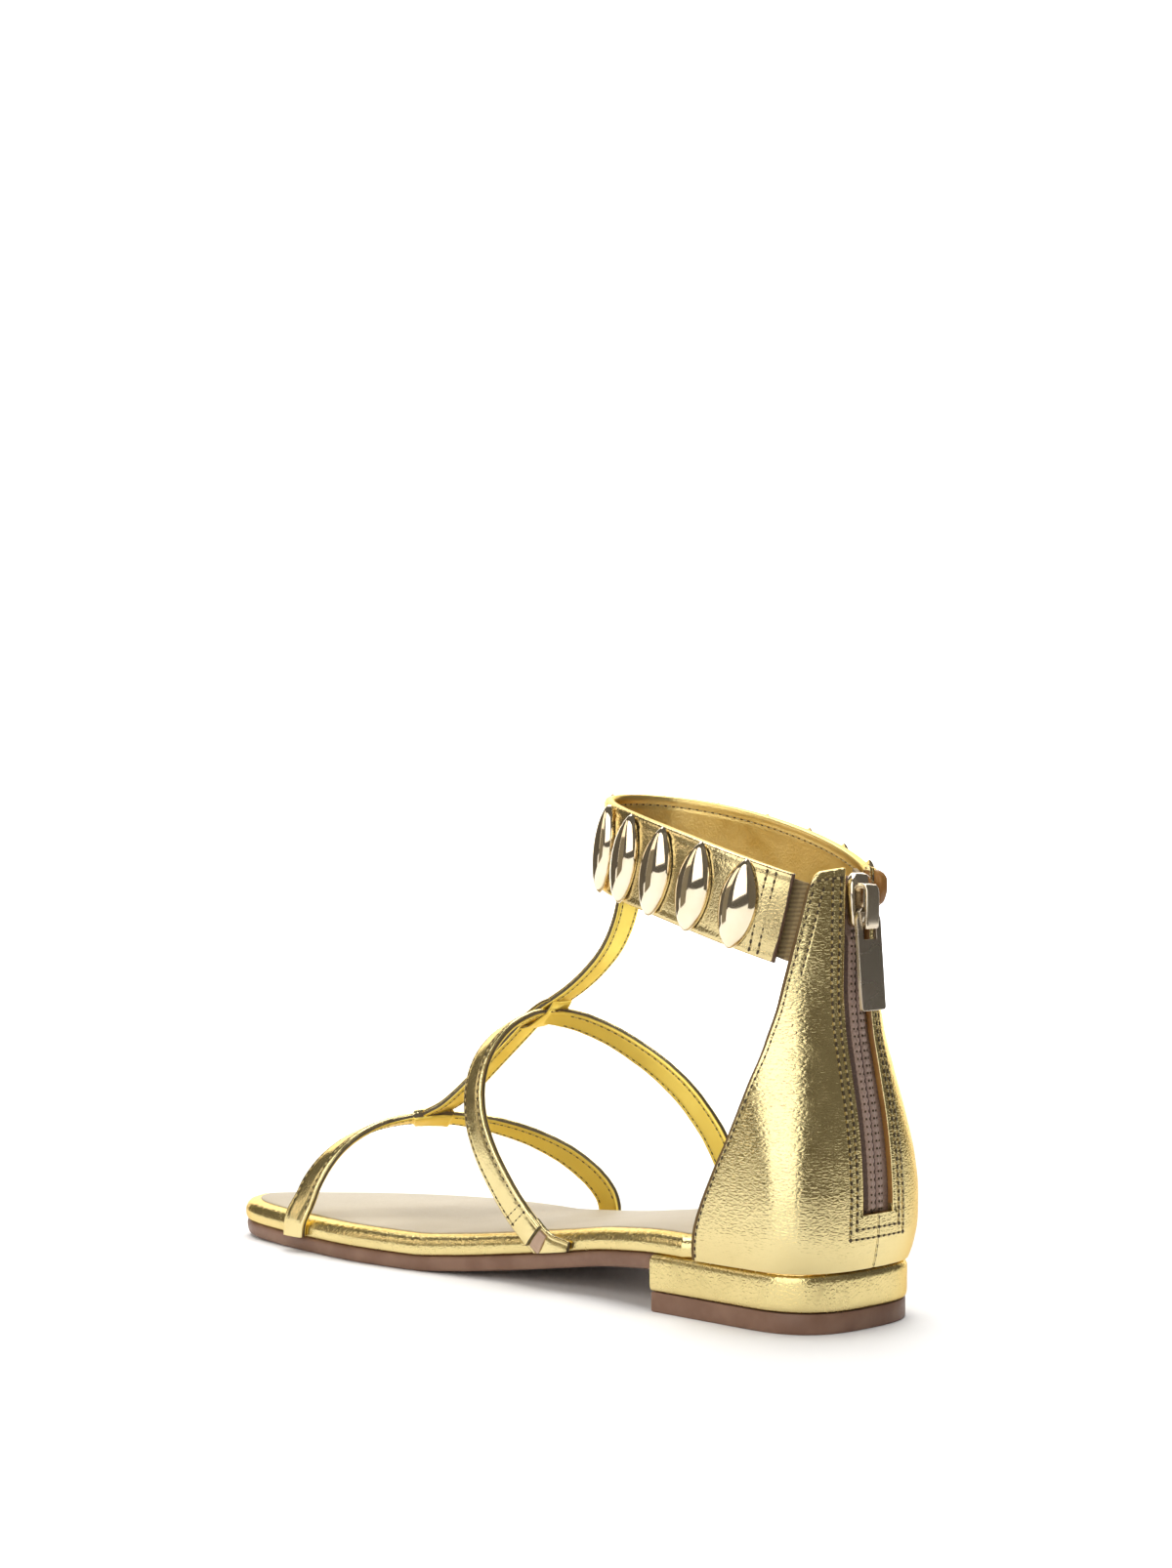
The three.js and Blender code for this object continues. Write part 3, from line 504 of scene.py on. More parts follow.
def stacked(build, sides, levels, count=110, bias=1.4, caps=(0, 0), shape=None):
    """Adds a shell of outlines one above another; a level is (inset, z), z a number or a function of x."""
    rings = []
    for d, z in levels:
        plan = inset_outline(sides, d, count, bias, blunt=sides is not HEEL_SIDES)
        height = z(plan[:, 0]) if callable(z) else np.full(len(plan), float(z))
        rings.append(np.column_stack([plan, height]))
    rings = np.array(rings)
    if shape is not None:
        rings = shape(rings)
    return sweep(build, rings, 0, caps)


def make_outsole():
    corners = [(1.9, 0.0), (1.15, 0.35), (0.75, 1.2), (0.5, 2.6), (0.55, 3.8), (0.95, OUTSOLE)]
    profile = smooth_profile(corners, 14)
    levels = [(d, lambda x, h=h: z_under(x) + h) for d, h in profile]
    b = stacked(Build(), SOLE_SIDES, levels, caps=(1, 0))
    return b.object("outsole_leather", [EDGE, TREAD], "sole", replaces=["outsole"])


def lasting_folds(rings):
    """Fine upright gathers in the wrap where it is pulled round the rim."""
    x, y, z = rings[..., 0], rings[..., 1], rings[..., 2]
    share = (z - z_footbed(x)) / FOOTBED
    wave = np.sin(x * 2.3 + 1.6 * np.sin(x * 0.31)) * np.sin(x * 0.47 + y * 0.9) ** 2
    z = z + 0.11 * wave * np.exp(-((share - 0.78) / 0.2) ** 2)
    return np.stack([x, y, z], axis=-1)


def make_footbed():
    r = RIM_ROUND
    profile = smooth_profile([(0.9, 0.0), (0.3, 0.45), (0.05, 1.3), (0.0, 3.0), (0.35 * r, FOOTBED - 0.5 * r),
                              (0.9 * r, FOOTBED - 0.12 * r), (1.5 * r, FOOTBED)], 26)
    levels = [(max(d, 0.0), lambda x, h=h: z_footbed(x) + h) for d, h in profile]
    b = stacked(Build(), FOOT_SIDES, levels, 520, 1.15, shape=lasting_folds)
    return b.object("footbed_wrap", [GOLD_SOLE], "gold_leather", replaces=["footbed"])


def make_sock():
    def base(x):
        return z_tread(x) - 0.35
    levels = [(SOCK_INSET, base), (SOCK_INSET, lambda x: base(x) + 0.6 * SOCK),
              (SOCK_INSET + 0.15, lambda x: base(x) + 0.85 * SOCK),
              (SOCK_INSET + 0.5, lambda x: base(x) + SOCK)]
    b = stacked(Build(), FOOT_SIDES, levels, 160, 1.1)
    return b.object("sock_lining", [SOCK_LEATHER], "sock", replaces=["insole_sock"])


def make_heel():
    def top(x):
        return z_footbed(x) - GAP
    low = TOP_LIFT + GAP
    levels = [(0.9, low), (0.35, low + 0.35), (0.1, low + 1.1), (0.02, low + 2.2)]
    levels += [(d, lambda x, h=h: top(x) - h) for d, h in
               [(0.0, 2.4), (0.08, 1.5), (0.3, 0.9), (0.7, 0.35), (1.2, 0.0)]]
    block = stacked(Build(), HEEL_SIDES, levels, 120, 1.0)
    block.object("heel_block_wrap", [GOLD_SOLE], "gold_leather", replaces=["heel_block"], auto=50)
    levels = [(1.0, 0.0), (0.6, 0.25), (0.5, 0.7), (0.5, TOP_LIFT - 0.3), (0.7, TOP_LIFT)]
    lift = stacked(Build(), HEEL_SIDES, levels, 120, 1.0)
    lift.object("heel_top_lift_edge", [EDGE], "sole", replaces=["heel_top_lift"], auto=50)


# Stitching
def template(rows, ring):
    """A small closed pod along x: rings of points, as vertices and quads."""
    t = np.linspace(0, math.pi, rows)
    a = np.linspace(0, 2 * math.pi, ring, endpoint=False)
    points = [[-math.cos(u), math.sin(u) ** 0.7 * math.cos(v), math.sin(u) ** 0.7 * math.sin(v)]
              for u in t for v in a]
    return np.array(points), grid_faces(rows, ring, False, True)


def place_pods(build, centers, tangents, normals, size, mat, rows=6, ring=6):
    """Adds one pod per center; size is (half length, half width, half height)."""
    pod, faces = template(rows, ring)
    side = np.cross(normals, tangents)
    for c, t, s, n in zip(centers, tangents, side, normals):
        build.add(c + pod[:, :1] * size[0] * t + pod[:, 1:2] * size[1] * s + pod[:, 2:] * size[2] * n,
                  (faces, mat))


def unit(v):
    return v / np.linalg.norm(v, axis=-1, keepdims=True).clip(1e-12)


def stitch_row(build, points, normals, pitch=STITCH_PITCH, thread=SEAM_THREAD, hole=SEAM_HOLE):
    """Threads between needle holes along a line on a surface, both as half length, width and height.

    A thread's half length is a share of the pitch.
    """
    points, normals = np.asarray(points, float), np.asarray(normals, float)
    s = np.concatenate([[0], np.cumsum(np.linalg.norm(np.diff(points, axis=0), axis=1))])
    count = max(int(round(s[-1] / pitch)), 1)
    step = s[-1] / count

    def at(want):
        p = np.stack([np.interp(want, s, points[:, k]) for k in range(3)], axis=1)
        q = np.stack([np.interp(want + 0.2, s, points[:, k]) for k in range(3)], axis=1)
        r = np.stack([np.interp(want - 0.2, s, points[:, k]) for k in range(3)], axis=1)
        n = unit(np.stack([np.interp(want, s, normals[:, k]) for k in range(3)], axis=1))
        t = unit(q - r)
        return p, t, unit(n - t * np.sum(n * t, axis=1, keepdims=True))
    p, t, n = at(step * (np.arange(count) + 0.5))
    place_pods(build, p + n * 0.02, t, n, (thread[0] * step, thread[1], thread[2]), 0)
    # Dark pods on the needle holes, painted shade where the thread goes into the leather.
    p, t, n = at(step * np.arange(count + 1))
    place_pods(build, p, t, n, hole, 1, 5, 8)


# Straps. Each row is a point of the strap's middle and the direction it faces: [x, y, z, nx, ny, nz]
def side_inner(x):
    return float(inner_y(x / TOE_X)) + GAP + STRAP_THICK / 2


def side_outer(x):
    return float(outer_y(x / TOE_X)) - GAP - STRAP_THICK / 2


T_STRAP = [
    [95.5, 2, 124.0, 1, 0, 0.1], [96.3, 2, 115.0, 0.99, 0, 0.15], [98.2, 2, 106.0, 0.92, 0, 0.4],
    [103.0, 2, 96.8, 0.8, 0, 0.6], [110.2, 2, 89.4, 0.68, 0, 0.73], [118.4, 2, 83.4, 0.6, 0, 0.8],
    [126.4, 2, 78.9, 0.55, 0, 0.84], [130.9, 2, 76.4, 0.55, 0, 0.84], [136.2, 1.9, 72.9, 0.56, 0, 0.83],
    [143.6, 1.7, 67.0, 0.6, 0, 0.8], [153.6, 1.4, 59.0, 0.63, 0, 0.78], [164.0, 1.1, 50.8, 0.6, 0, 0.8],
    [172.6, 0.9, 45.0, 0.52, 0, 0.85], [181.0, 0.7, 41.2, 0.42, 0, 0.91],
]
MID_STRAP = [
    [98.0, side_inner(98.0), float(z_footbed(98)) - 1.5, 0, 1, 0],
    [106.4, side_inner(106.4), 12.2, 0, 1, 0],
    [113.2, side_inner(113.2), 17.4, 0, 1, 0.02], [117.4, 27.4, 22.0, 0, 1, 0.05],
    [122.2, 28.3, 28.4, 0.02, 1, 0.06], [129.2, 28.6, 38.6, 0.08, 1, 0.12],
    [134.4, 27.2, 48.4, 0.15, 0.96, 0.22], [136.9, 24.4, 57.4, 0.22, 0.9, 0.36],
    [137.2, 20.0, 65.2, 0.3, 0.76, 0.56], [135.2, 13.6, 71.6, 0.42, 0.5, 0.75],
    [132.4, 6.8, 74.6, 0.5, 0.22, 0.82], [129.6, 2.0, 75.0, 0.54, 0, 0.84],
    [126.4, -4.2, 73.8, 0.5, -0.22, 0.82],
    [121.0, -11.8, 70.2, 0.42, -0.48, 0.77], [112.9, -18.6, 64.0, 0.3, -0.72, 0.6],
    [102.6, -23.6, 55.4, 0.2, -0.88, 0.4], [94.9, -26.8, 46.2, 0.1, -0.96, 0.24],
    [89.6, -29.0, 37.0, 0.04, -1, 0.12],
    [86.2, -30.4, 27.6, 0, -1, 0.06], [84.4, side_outer(84.4), 20.0, 0, -1, 0],
    [83.0, side_outer(83.0), float(z_footbed(83)) - 2, 0, -1, 0],
]
TOE_STRAP = [
    [206.4, side_inner(206.4), float(z_footbed(206)) - 2, 0, 1, 0],
    [205.0, side_inner(205.0), 10.4, 0, 1, 0.02],
    [203.2, 33.4, 15.6, 0.04, 0.99, 0.12], [201.4, 31.6, 21.4, 0.1, 0.94, 0.32],
    [199.4, 28.2, 27.2, 0.2, 0.8, 0.56], [197.2, 23.2, 32.2, 0.3, 0.56, 0.76],
    [194.2, 16.4, 36.2, 0.38, 0.34, 0.86], [190.2, 9.2, 38.7, 0.42, 0.16, 0.89],
    [184.6, 2.2, 39.8, 0.44, 0, 0.9], [178.6, -6.2, 39.6, 0.42, -0.14, 0.9],
    [171.4, -15.6, 37.4, 0.38, -0.34, 0.86],
    [164.6, -26.2, 33.0, 0.28, -0.62, 0.73], [157.6, -34.0, 27.4, 0.18, -0.84, 0.5],
    [151.4, -39.4, 20.6, 0.08, -0.96, 0.26], [148.0, side_outer(148.0) - 0.1, 14.4, 0.02, -1, 0.08],
    [146.2, side_outer(146.2), float(z_footbed(146.2)) - 2, 0, -1, 0],
]


def spline(points, even):
    """Catmull-Rom through points, over 0 to 1 in equal steps a point; even spacing or centripetal."""
    p = np.asarray(points, float)
    p = np.concatenate([[2 * p[0] - p[1]], p, [2 * p[-1] - p[-2]]])
    knots = np.ones(len(p) - 1) if even else np.linalg.norm(np.diff(p, axis=0), axis=1) ** 0.5

    def at(t):
        t = np.clip(np.asarray(t, float), 0, 1) * (len(points) - 1)
        i = np.minimum(t.astype(int), len(points) - 2)
        u = (t - i)[:, None]
        a, b, c, d = p[i], p[i + 1], p[i + 2], p[i + 3]
        e, f, g = (knots[i + k][:, None] for k in range(3))
        m1 = ((b - a) / e - (c - a) / (e + f) + (c - b) / f) * f
        m2 = ((c - b) / f - (d - b) / (f + g) + (d - c) / g) * f
        return b + m1 * u + (3 * c - 3 * b - 2 * m1 - m2) * u ** 2 + (2 * b - 2 * c + m1 + m2) * u ** 3
    return at


def strap_frame(rows, t):
    """Middle, tangent, side and facing of a strap at shares t of its rows."""
    rows = np.asarray(rows, float)
    path, face = spline(rows[:, :3], False), spline(rows[:, 3:], True)
    mid = path(t)
    tangent = unit(path(np.clip(t + 1e-4, 0, 1)) - path(np.clip(t - 1e-4, 0, 1)))
    normal = face(t)
    normal = unit(normal - tangent * np.sum(normal * tangent, axis=1, keepdims=True))
    return mid, tangent, np.cross(tangent, normal), normal


STITCH_IN = 1.25


def strap_section(width, thick, crown=0.2, groove=0.2):
    """Half-outline points across a strap: (side, height) of the outer face and of the lining."""
    w, h = width / 2, thick / 2
    s = np.array([-w, -w, -w + 0.1, -w + 0.4, -w + 0.8, -w + STITCH_IN - 0.2, -w + STITCH_IN + 0.2,
                  -w + 1.8, -0.4 * w, 0])
    s = np.concatenate([s, -s[-2::-1]])
    edge = (w - np.abs(s)).clip(0)
    round_off = 0.5 * np.exp(-edge / 0.28)
    dip = groove * np.exp(-((edge - STITCH_IN) / 0.32) ** 2)
    top = h + crown * (1 - (s / w) ** 2) - round_off - dip
    low = -h + 0.35 * np.exp(-edge / 0.2) + 0.5 * dip
    top[[0, -1]] = 0.2 * h
    low[[0, -1]] = -0.55 * h
    return s, top, low


def strap_rings(rows, t, width, thick, shifts, thin):
    mid, _, side, normal = strap_frame(rows, t)
    s, top, low = strap_section(width, thick)
    drift = 0.12 * np.sin(np.arange(len(t)) * 0.37) + 0.08 * np.sin(np.arange(len(t)) * 0.83 + 1)
    out = []
    for i in range(len(t)):
        across = np.concatenate([s, s[::-1]]) + 0.25 * drift[i]
        height = np.concatenate([top, low[::-1]]) * thin[i] + shifts[i] + 0.1 * drift[i]
        out.append(mid[i] + across[:, None] * side[i] + height[:, None] * normal[i])
    rings = np.array(out)
    floor = z_footbed(rings[..., 0]) + 0.1
    rings[..., 2] = np.maximum(rings[..., 2], floor)
    n = len(s)
    mats = np.concatenate([np.zeros(n - 1), [1], np.full(n - 1, 2), [1]]).astype(int)
    return rings, mats


def add_strap(build, rows, t0, t1, steps, width, thick, shift=0.0, end_shift=None):
    """A strap or a layer of one; a layer with an end shift eases into the strap at both ends."""
    t = np.linspace(t0, t1, steps)
    thin = np.ones(steps)
    shifts = np.full(steps, shift)
    if end_shift is not None:
        f = np.abs(np.linspace(-1, 1, steps))
        thin = 1 - 0.7 * np.clip((f - 0.85) / 0.15, 0, 1) ** 2
        shifts = end_shift + (shift - end_shift) * (1 - f ** 4)
    rings, mats = strap_rings(rows, t, width, thick, shifts, thin)
    sweep(build, rings, mats, (1, 1))


def share_of(rows, index):
    return index / (len(rows) - 1)


LOOP_REACH = 0.1
CROSS_CLEAR = 0.11
TOP_THREAD, TOP_HOLE = (0.2, 0.22, 0.18), (0.62, 0.24, 0.18)
LOW_THREAD, LOW_HOLE = (0.2, 0.2, 0.12), (0.6, 0.22, 0.13)


def make_upper():
    b = Build()
    add_strap(b, MID_STRAP, share_of(MID_STRAP, 1.6), 1, 300, STRAP_WIDTH, STRAP_THICK)
    add_strap(b, MID_STRAP, 0, share_of(MID_STRAP, 1.9), 30, STRAP_WIDTH + 0.8, 1.1, -0.5)
    t = np.linspace(share_of(MID_STRAP, 1.12), share_of(MID_STRAP, 1.52), 12)
    patch, _ = strap_rings(MID_STRAP, t, STRAP_WIDTH - 2.0, 0.5, np.full(12, 0.3), np.ones(12))
    sweep(b, patch, 3, (3, 3))
    add_strap(b, TOE_STRAP, 0, 1, 240, STRAP_WIDTH, STRAP_THICK)
    add_strap(b, T_STRAP, 0, 1, 200, STRAP_WIDTH, STRAP_THICK, 0.5)
    cross = share_of(T_STRAP, 7)
    loop = (cross - LOOP_REACH, cross + LOOP_REACH, 60)
    add_strap(b, T_STRAP, *loop, STRAP_WIDTH + 0.4, 1.2, 1.4, 0.5)
    add_strap(b, T_STRAP, *loop, STRAP_WIDTH - 0.2, 1.0, -2.2, -0.3)
    add_strap(b, TOE_STRAP, share_of(TOE_STRAP, 7.7), share_of(TOE_STRAP, 8.9), 50, STRAP_WIDTH + 1.2,
              STRAP_THICK + 1.4, 0.2, 0.0)
    b.object("strap_leather", [GOLD_STRAP, STRAP_EDGE, LINING, BARE_LINING], "gold_leather",
             replaces=["strap_upper"], auto=55)
    seams = Build()
    rows_of = [(MID_STRAP, share_of(MID_STRAP, 2.55), share_of(MID_STRAP, 10.2), 0.0),
               (MID_STRAP, share_of(MID_STRAP, 11.9), share_of(MID_STRAP, 19.2), 0.0),
               (TOE_STRAP, share_of(TOE_STRAP, 1.8), share_of(TOE_STRAP, 7.6), 0.0),
               (TOE_STRAP, share_of(TOE_STRAP, 9.0), share_of(TOE_STRAP, 14.0), 0.0),
               (T_STRAP, share_of(T_STRAP, 1.2), cross - CROSS_CLEAR, 0.5),
               (T_STRAP, cross + CROSS_CLEAR, share_of(T_STRAP, 12.7), 0.5)]
    half = STRAP_WIDTH / 2 - STITCH_IN
    for rows, t0, t1, shift in rows_of:
        t = np.linspace(t0, t1, 160)
        mid, _, side, normal = strap_frame(rows, t)
        for sign in (-1, 1):
            top = mid + side * half * sign + normal * (shift + STRAP_THICK / 2 - 0.02)
            low = mid + side * half * sign + normal * (shift - STRAP_THICK / 2 + 0.02)
            stitch_row(seams, top, normal, STRAP_PITCH, TOP_THREAD, TOP_HOLE)
            stitch_row(seams, low, -normal, STRAP_PITCH, LOW_THREAD, LOW_HOLE)
    for index in (2.55, 2.95):
        mid, _, side, normal = strap_frame(MID_STRAP, np.full(9, share_of(MID_STRAP, index)))
        across = np.linspace(-half, half, 9)[:, None]
        line = mid + side * across + normal * (STRAP_THICK / 2 + 0.12)
        stitch_row(seams, line, normal, 1.9, (0.2, 0.22, 0.18), (0.5, 0.26, 0.2))
    mid, _, side, normal = strap_frame(T_STRAP, np.full(9, cross - 0.075))
    line = mid + side * np.linspace(-half, half, 9)[:, None] - normal * 2.5
    stitch_row(seams, line, -normal, 2.0, (0.2, 0.2, 0.14), (0.5, 0.22, 0.2))
    seams.object("strap_stitches", [THREAD_GOLD, HOLE_SHADE], "gold_leather")


# Heel counter, outer surface by height: [z, rear x, half width, arc, power, front edge x]
COUNTER = [
    [15.0, 6.6, 26.4, 20, 2.7, 47.8], [20, 5.2, 27.8, 19.5, 2.65, 47.0], [27, 4.3, 28.8, 19, 2.6, 45.2],
    [34, 4.2, 29.0, 19, 2.55, 42.6], [44, 4.7, 28.6, 20.5, 2.5, 38.6], [55, 6.0, 27.6, 24, 2.4, 34.2],
    [68, 8.4, 26.4, 29, 2.3, 29.8], [80, 10.6, 25.8, 34, 2.2, 26.4], [92, 11.6, 25.8, 38, 2.15, 23.6],
    [105, 11.5, 26.2, 41.5, 2.15, 21.0], [124, 11.4, 26.4, 44, 2.15, 17.6],
]
COUNTER_EDGE_TOP, COUNTER_MIDDLE_TOP = 121.4, 123.2
COUNTER_LOW = float(z_footbed(20.0))


def zip_half(z):
    return 0.5 * (ZIP_WIDTH_LOW + (ZIP_WIDTH_HIGH - ZIP_WIDTH_LOW) * np.clip((z - ZIP_BOTTOM) / 90, 0, 1))


class CounterSurface:
    """The counter's outer surface over height z and distance s from the middle of the back."""

    def __init__(self):
        rear, half, arc, power, front = [curve(COUNTER, k) for k in range(1, 6)]
        self.z = np.arange(13.0, 126.0, 0.75)
        self.s = np.arange(0.0, 76.0, 0.4)
        rows = []
        self.ends = []
        self.zips = []
        for z in self.z:
            line = rear_half(float(rear(z)), float(half(z)), float(arc(z)), float(power(z)), 1, 900)
            line = np.concatenate([line, [[90.0, line[-1, 1]]]])
            s = np.concatenate([[0], np.cumsum(np.linalg.norm(np.diff(line, axis=0), axis=1))])
            rows.append([np.interp(self.s, s, line[:, 0]), np.interp(self.s, s, line[:, 1])])
            self.ends.append(np.interp(float(front(z)), line[:, 0], s))
            self.zips.append(np.interp(float(zip_half(z)), line[:, 1] - HEEL_Y, s))
        rows = np.array(rows)
        self.p = np.stack([rows[:, 0], rows[:, 1], np.repeat(self.z[:, None], len(self.s), 1)], axis=-1)
        dz, ds = np.gradient(self.p, axis=0), np.gradient(self.p, axis=1)
        ds[:, 0] = [0, 1, 0]
        self.n = unit(np.cross(ds, dz))
        self.n *= np.where(self.n[..., 1:2] + 0.001 * -self.n[..., :1] >= 0, 1, -1)

    def end(self, z):
        return np.interp(z, self.z, self.ends)

    def zip_edge(self, z):
        return np.interp(z, self.z, self.zips)

    def at(self, z, s, side):
        """Points and outward normals; side is +1 on the inner side of the foot and -1 on the outer."""
        z, s = np.broadcast_arrays(np.asarray(z, float), np.asarray(s, float))
        i = np.clip((z - self.z[0]) / 0.75, 0, len(self.z) - 1.001)
        j = np.clip(s / 0.4, 0, len(self.s) - 1.001)
        i0, j0 = i.astype(int), j.astype(int)
        u, v = (i - i0)[..., None], (j - j0)[..., None]

        def blend(grid):
            return ((1 - u) * (1 - v) * grid[i0, j0] + u * (1 - v) * grid[i0 + 1, j0]
                    + (1 - u) * v * grid[i0, j0 + 1] + u * v * grid[i0 + 1, j0 + 1])
        p, n = blend(self.p), unit(blend(self.n))
        if side < 0:
            p = p * [1, -1, 1] + [0, 2 * HEEL_Y, 0]
            n = n * [1, -1, 1]
        return p, n


BACK = CounterSurface()
FRONT_ROW, FRONT_ROW_2 = 1.7, 4.4
DOUBLE_ROW_LOW = 95.0
PLACKET_DROPS, PLACKET_TOP = (3.6, 6.2), 119.5
FRONT_ROW_TOP = 116.0


def placket_inner(z):
    """Distance of the inner placket seam from the zip's edge."""
    return np.interp(z, [24, 40, 70, 100, 122], [2.5, 2.3, 1.9, 1.7, 1.4])


def placket_outer(z):
    return placket_inner(z) + np.interp(z, [24, 40, 90, 122], [2.2, 2.1, 2.0, 2.6])


def counter_top(f):
    corner = 4.6 * np.clip((np.abs(f) - 0.74) / 0.26, 0, 1) ** 2.2
    return COUNTER_MIDDLE_TOP + (COUNTER_EDGE_TOP - COUNTER_MIDDLE_TOP) * np.abs(f) ** 1.5 - corner


def front_edge(z):
    """Distance of the leather's front edge from the middle of the back at height z."""
    rise = (COUNTER_MIDDLE_TOP - COUNTER_LOW) / (counter_top(1.0) - COUNTER_LOW)
    return BACK.end(COUNTER_LOW + (z - COUNTER_LOW) * rise)


def seam_dips(z, s):
    """How deep the stitching pulls the leather in at height z and distance s from the back's middle."""
    near_zip, near_front = s - BACK.zip_edge(z), front_edge(z) - s
    above = z > ZIP_BOTTOM - 5.8

    def dip(d, deep, wide):
        return deep * np.exp(-(d / wide) ** 2)
    out = dip(near_zip - placket_inner(z), 0.2, 0.45) + dip(near_zip - placket_outer(z), 0.22, 0.5)
    out = np.where(above, out, 0.0)
    out = out + dip(near_front - FRONT_ROW, 0.06, 0.4)
    return out + np.where(z > DOUBLE_ROW_LOW, dip(near_front - FRONT_ROW_2, 0.12, 0.4), 0.0)


def make_counter():
    rows, middle = 110, 7
    zip_side = np.concatenate([[0, 0.12, 0.35, 0.8], np.arange(1.1, 8.0, 0.34)])
    front_side = np.array([5.2, 4.7, 4.4, 4.1, 3.4, 2.4, 2.0, 1.7, 1.4, 0.9, 0.5, 0.22, 0.08, 0.0])
    share = np.linspace(0, 1, 34)[1:-1]
    points, depths = [], []
    level = np.linspace(0, 1, rows)
    level = np.concatenate([[0, 0.0012, 0.003], level[1:-1], [0.9965, 0.9985, 0.9995, 1]])
    zip_row = int(np.searchsorted(COUNTER_LOW + level * (COUNTER_MIDDLE_TOP - COUNTER_LOW), ZIP_BOTTOM))
    for k, h in enumerate(level):
        z0 = COUNTER_LOW + h * (COUNTER_MIDDLE_TOP - COUNTER_LOW)
        if k == zip_row:
            z0 = ZIP_BOTTOM
        edge, end = float(BACK.zip_edge(z0)), float(BACK.end(z0))
        s = np.concatenate([np.linspace(0, edge, middle)[:-1], edge + zip_side,
                            edge + 8.2 + (end - 5.6 - edge - 8.2) * share, end - front_side])
        f = s / end
        top = counter_top(f)
        z = COUNTER_LOW + (z0 - COUNTER_LOW) * (top - COUNTER_LOW) / (COUNTER_MIDDLE_TOP - COUNTER_LOW)
        lip = 0.45 * np.exp(-np.abs(end - s) / 0.3) + 0.45 * np.exp(-(top - z) / 0.3)
        if z0 >= ZIP_BOTTOM:
            lip = lip + 0.45 * np.exp(-np.abs(s - edge) / 0.25)
        depth = seam_dips(z, s) + lip
        seam = 0.28 * np.exp(-(s / 0.35) ** 2) if z0 < ZIP_BOTTOM else 0.0
        swell = 0.35 * np.sin(z * 0.045 + 0.6) * np.sin(s * 0.06)
        points.append(np.stack([z, s], axis=1))
        depths.append(depth + seam + 0.35 * swell)
    points, depths = np.array(points), np.array(depths)
    cols = points.shape[1]
    outer, inner = [], []
    for side in (1, -1):
        p, n = BACK.at(points[..., 0], points[..., 1], side)
        outer.append(p - n * depths[..., None])
        inner.append(p - n * COUNTER_WALL)
    outer = np.concatenate([outer[0][:, ::-1], outer[1][:, 1:]], axis=1)
    inner = np.concatenate([inner[0][:, ::-1], inner[1][:, 1:]], axis=1)
    nr, nc = outer.shape[:2]
    faces = grid_faces(nr, nc)
    row, col = faces[:, 0] // nc, faces[:, 0] % nc
    first = cols - 1 - (middle - 1)
    in_zip = (row >= zip_row) & (col >= first) & (col < first + 2 * (middle - 1))
    b = Build()

    def rim(at):
        beside_zip = (at[:, 1] < HEEL_Y) & (np.abs(at[:, 1] - HEEL_Y) < 8) & (at[:, 2] > ZIP_BOTTOM)
        return np.where(beside_zip & (at[:, 2] < COUNTER_MIDDLE_TOP - 2), 1, 0)
    skin = np.where((col < 5) | (col > nc - 7), 3, 0)[~in_zip]
    thicken(b, outer.reshape(-1, 3), inner.reshape(-1, 3), faces[~in_zip], (skin, rim, 2))
    b.object("counter_leather", [GOLD, PATENT, BAND_LINING, RAW_EDGE], "gold_leather",
             replaces=["heel_counter"], auto=70)
    seams = Build()
    for side in (1, -1):
        z = np.linspace(ZIP_BOTTOM - PLACKET_DROPS[0], PLACKET_TOP, 300)
        stitch_row(seams, *BACK.at(z, BACK.zip_edge(z) + placket_inner(z), side))
        z = np.linspace(ZIP_BOTTOM - PLACKET_DROPS[1], PLACKET_TOP, 300)
        stitch_row(seams, *BACK.at(z, BACK.zip_edge(z) + placket_outer(z), side))
        z = np.linspace(COUNTER_LOW + 1.5, FRONT_ROW_TOP, 300)
        stitch_row(seams, *BACK.at(z, front_edge(z) - FRONT_ROW, side))
        z = np.linspace(DOUBLE_ROW_LOW, 117.2, 100)
        stitch_row(seams, *BACK.at(z, front_edge(z) - FRONT_ROW_2, side))
        for drop, wide in zip(PLACKET_DROPS, (placket_inner(27), placket_outer(25))):
            s = np.linspace(0.0, float(BACK.zip_edge(ZIP_BOTTOM)) + wide, 40)
            stitch_row(seams, *BACK.at(ZIP_BOTTOM - drop, s, side))
        s = np.linspace(front_edge(FRONT_ROW_TOP) - FRONT_ROW, BACK.zip_edge(119.2) + placket_inner(119), 60)
        stitch_row(seams, *BACK.at(counter_top(s / BACK.end(120)) - 2.4, s, side))
    z = np.linspace(COUNTER_LOW + 0.8, ZIP_BOTTOM - 1, 30)
    stitch_row(seams, *BACK.at(z, 0.0 * z, 1), 2.4, (0.3, 0.2, 0.1), (0.6, 0.22, 0.06))
    seams.object("counter_stitches", [THREAD_GOLD, HOLE_SHADE], "gold_leather")


# Zip
def back_point(y, z, depth):
    """A point behind the zip's opening, y off the heel's middle and depth under the counter's surface."""
    y, z, depth = np.broadcast_arrays(np.asarray(y, float), np.asarray(z, float), np.asarray(depth, float))
    p, _ = BACK.at(z, np.abs(y), 1)
    return np.stack([p[..., 0] + depth, HEEL_Y + y, z], axis=-1)


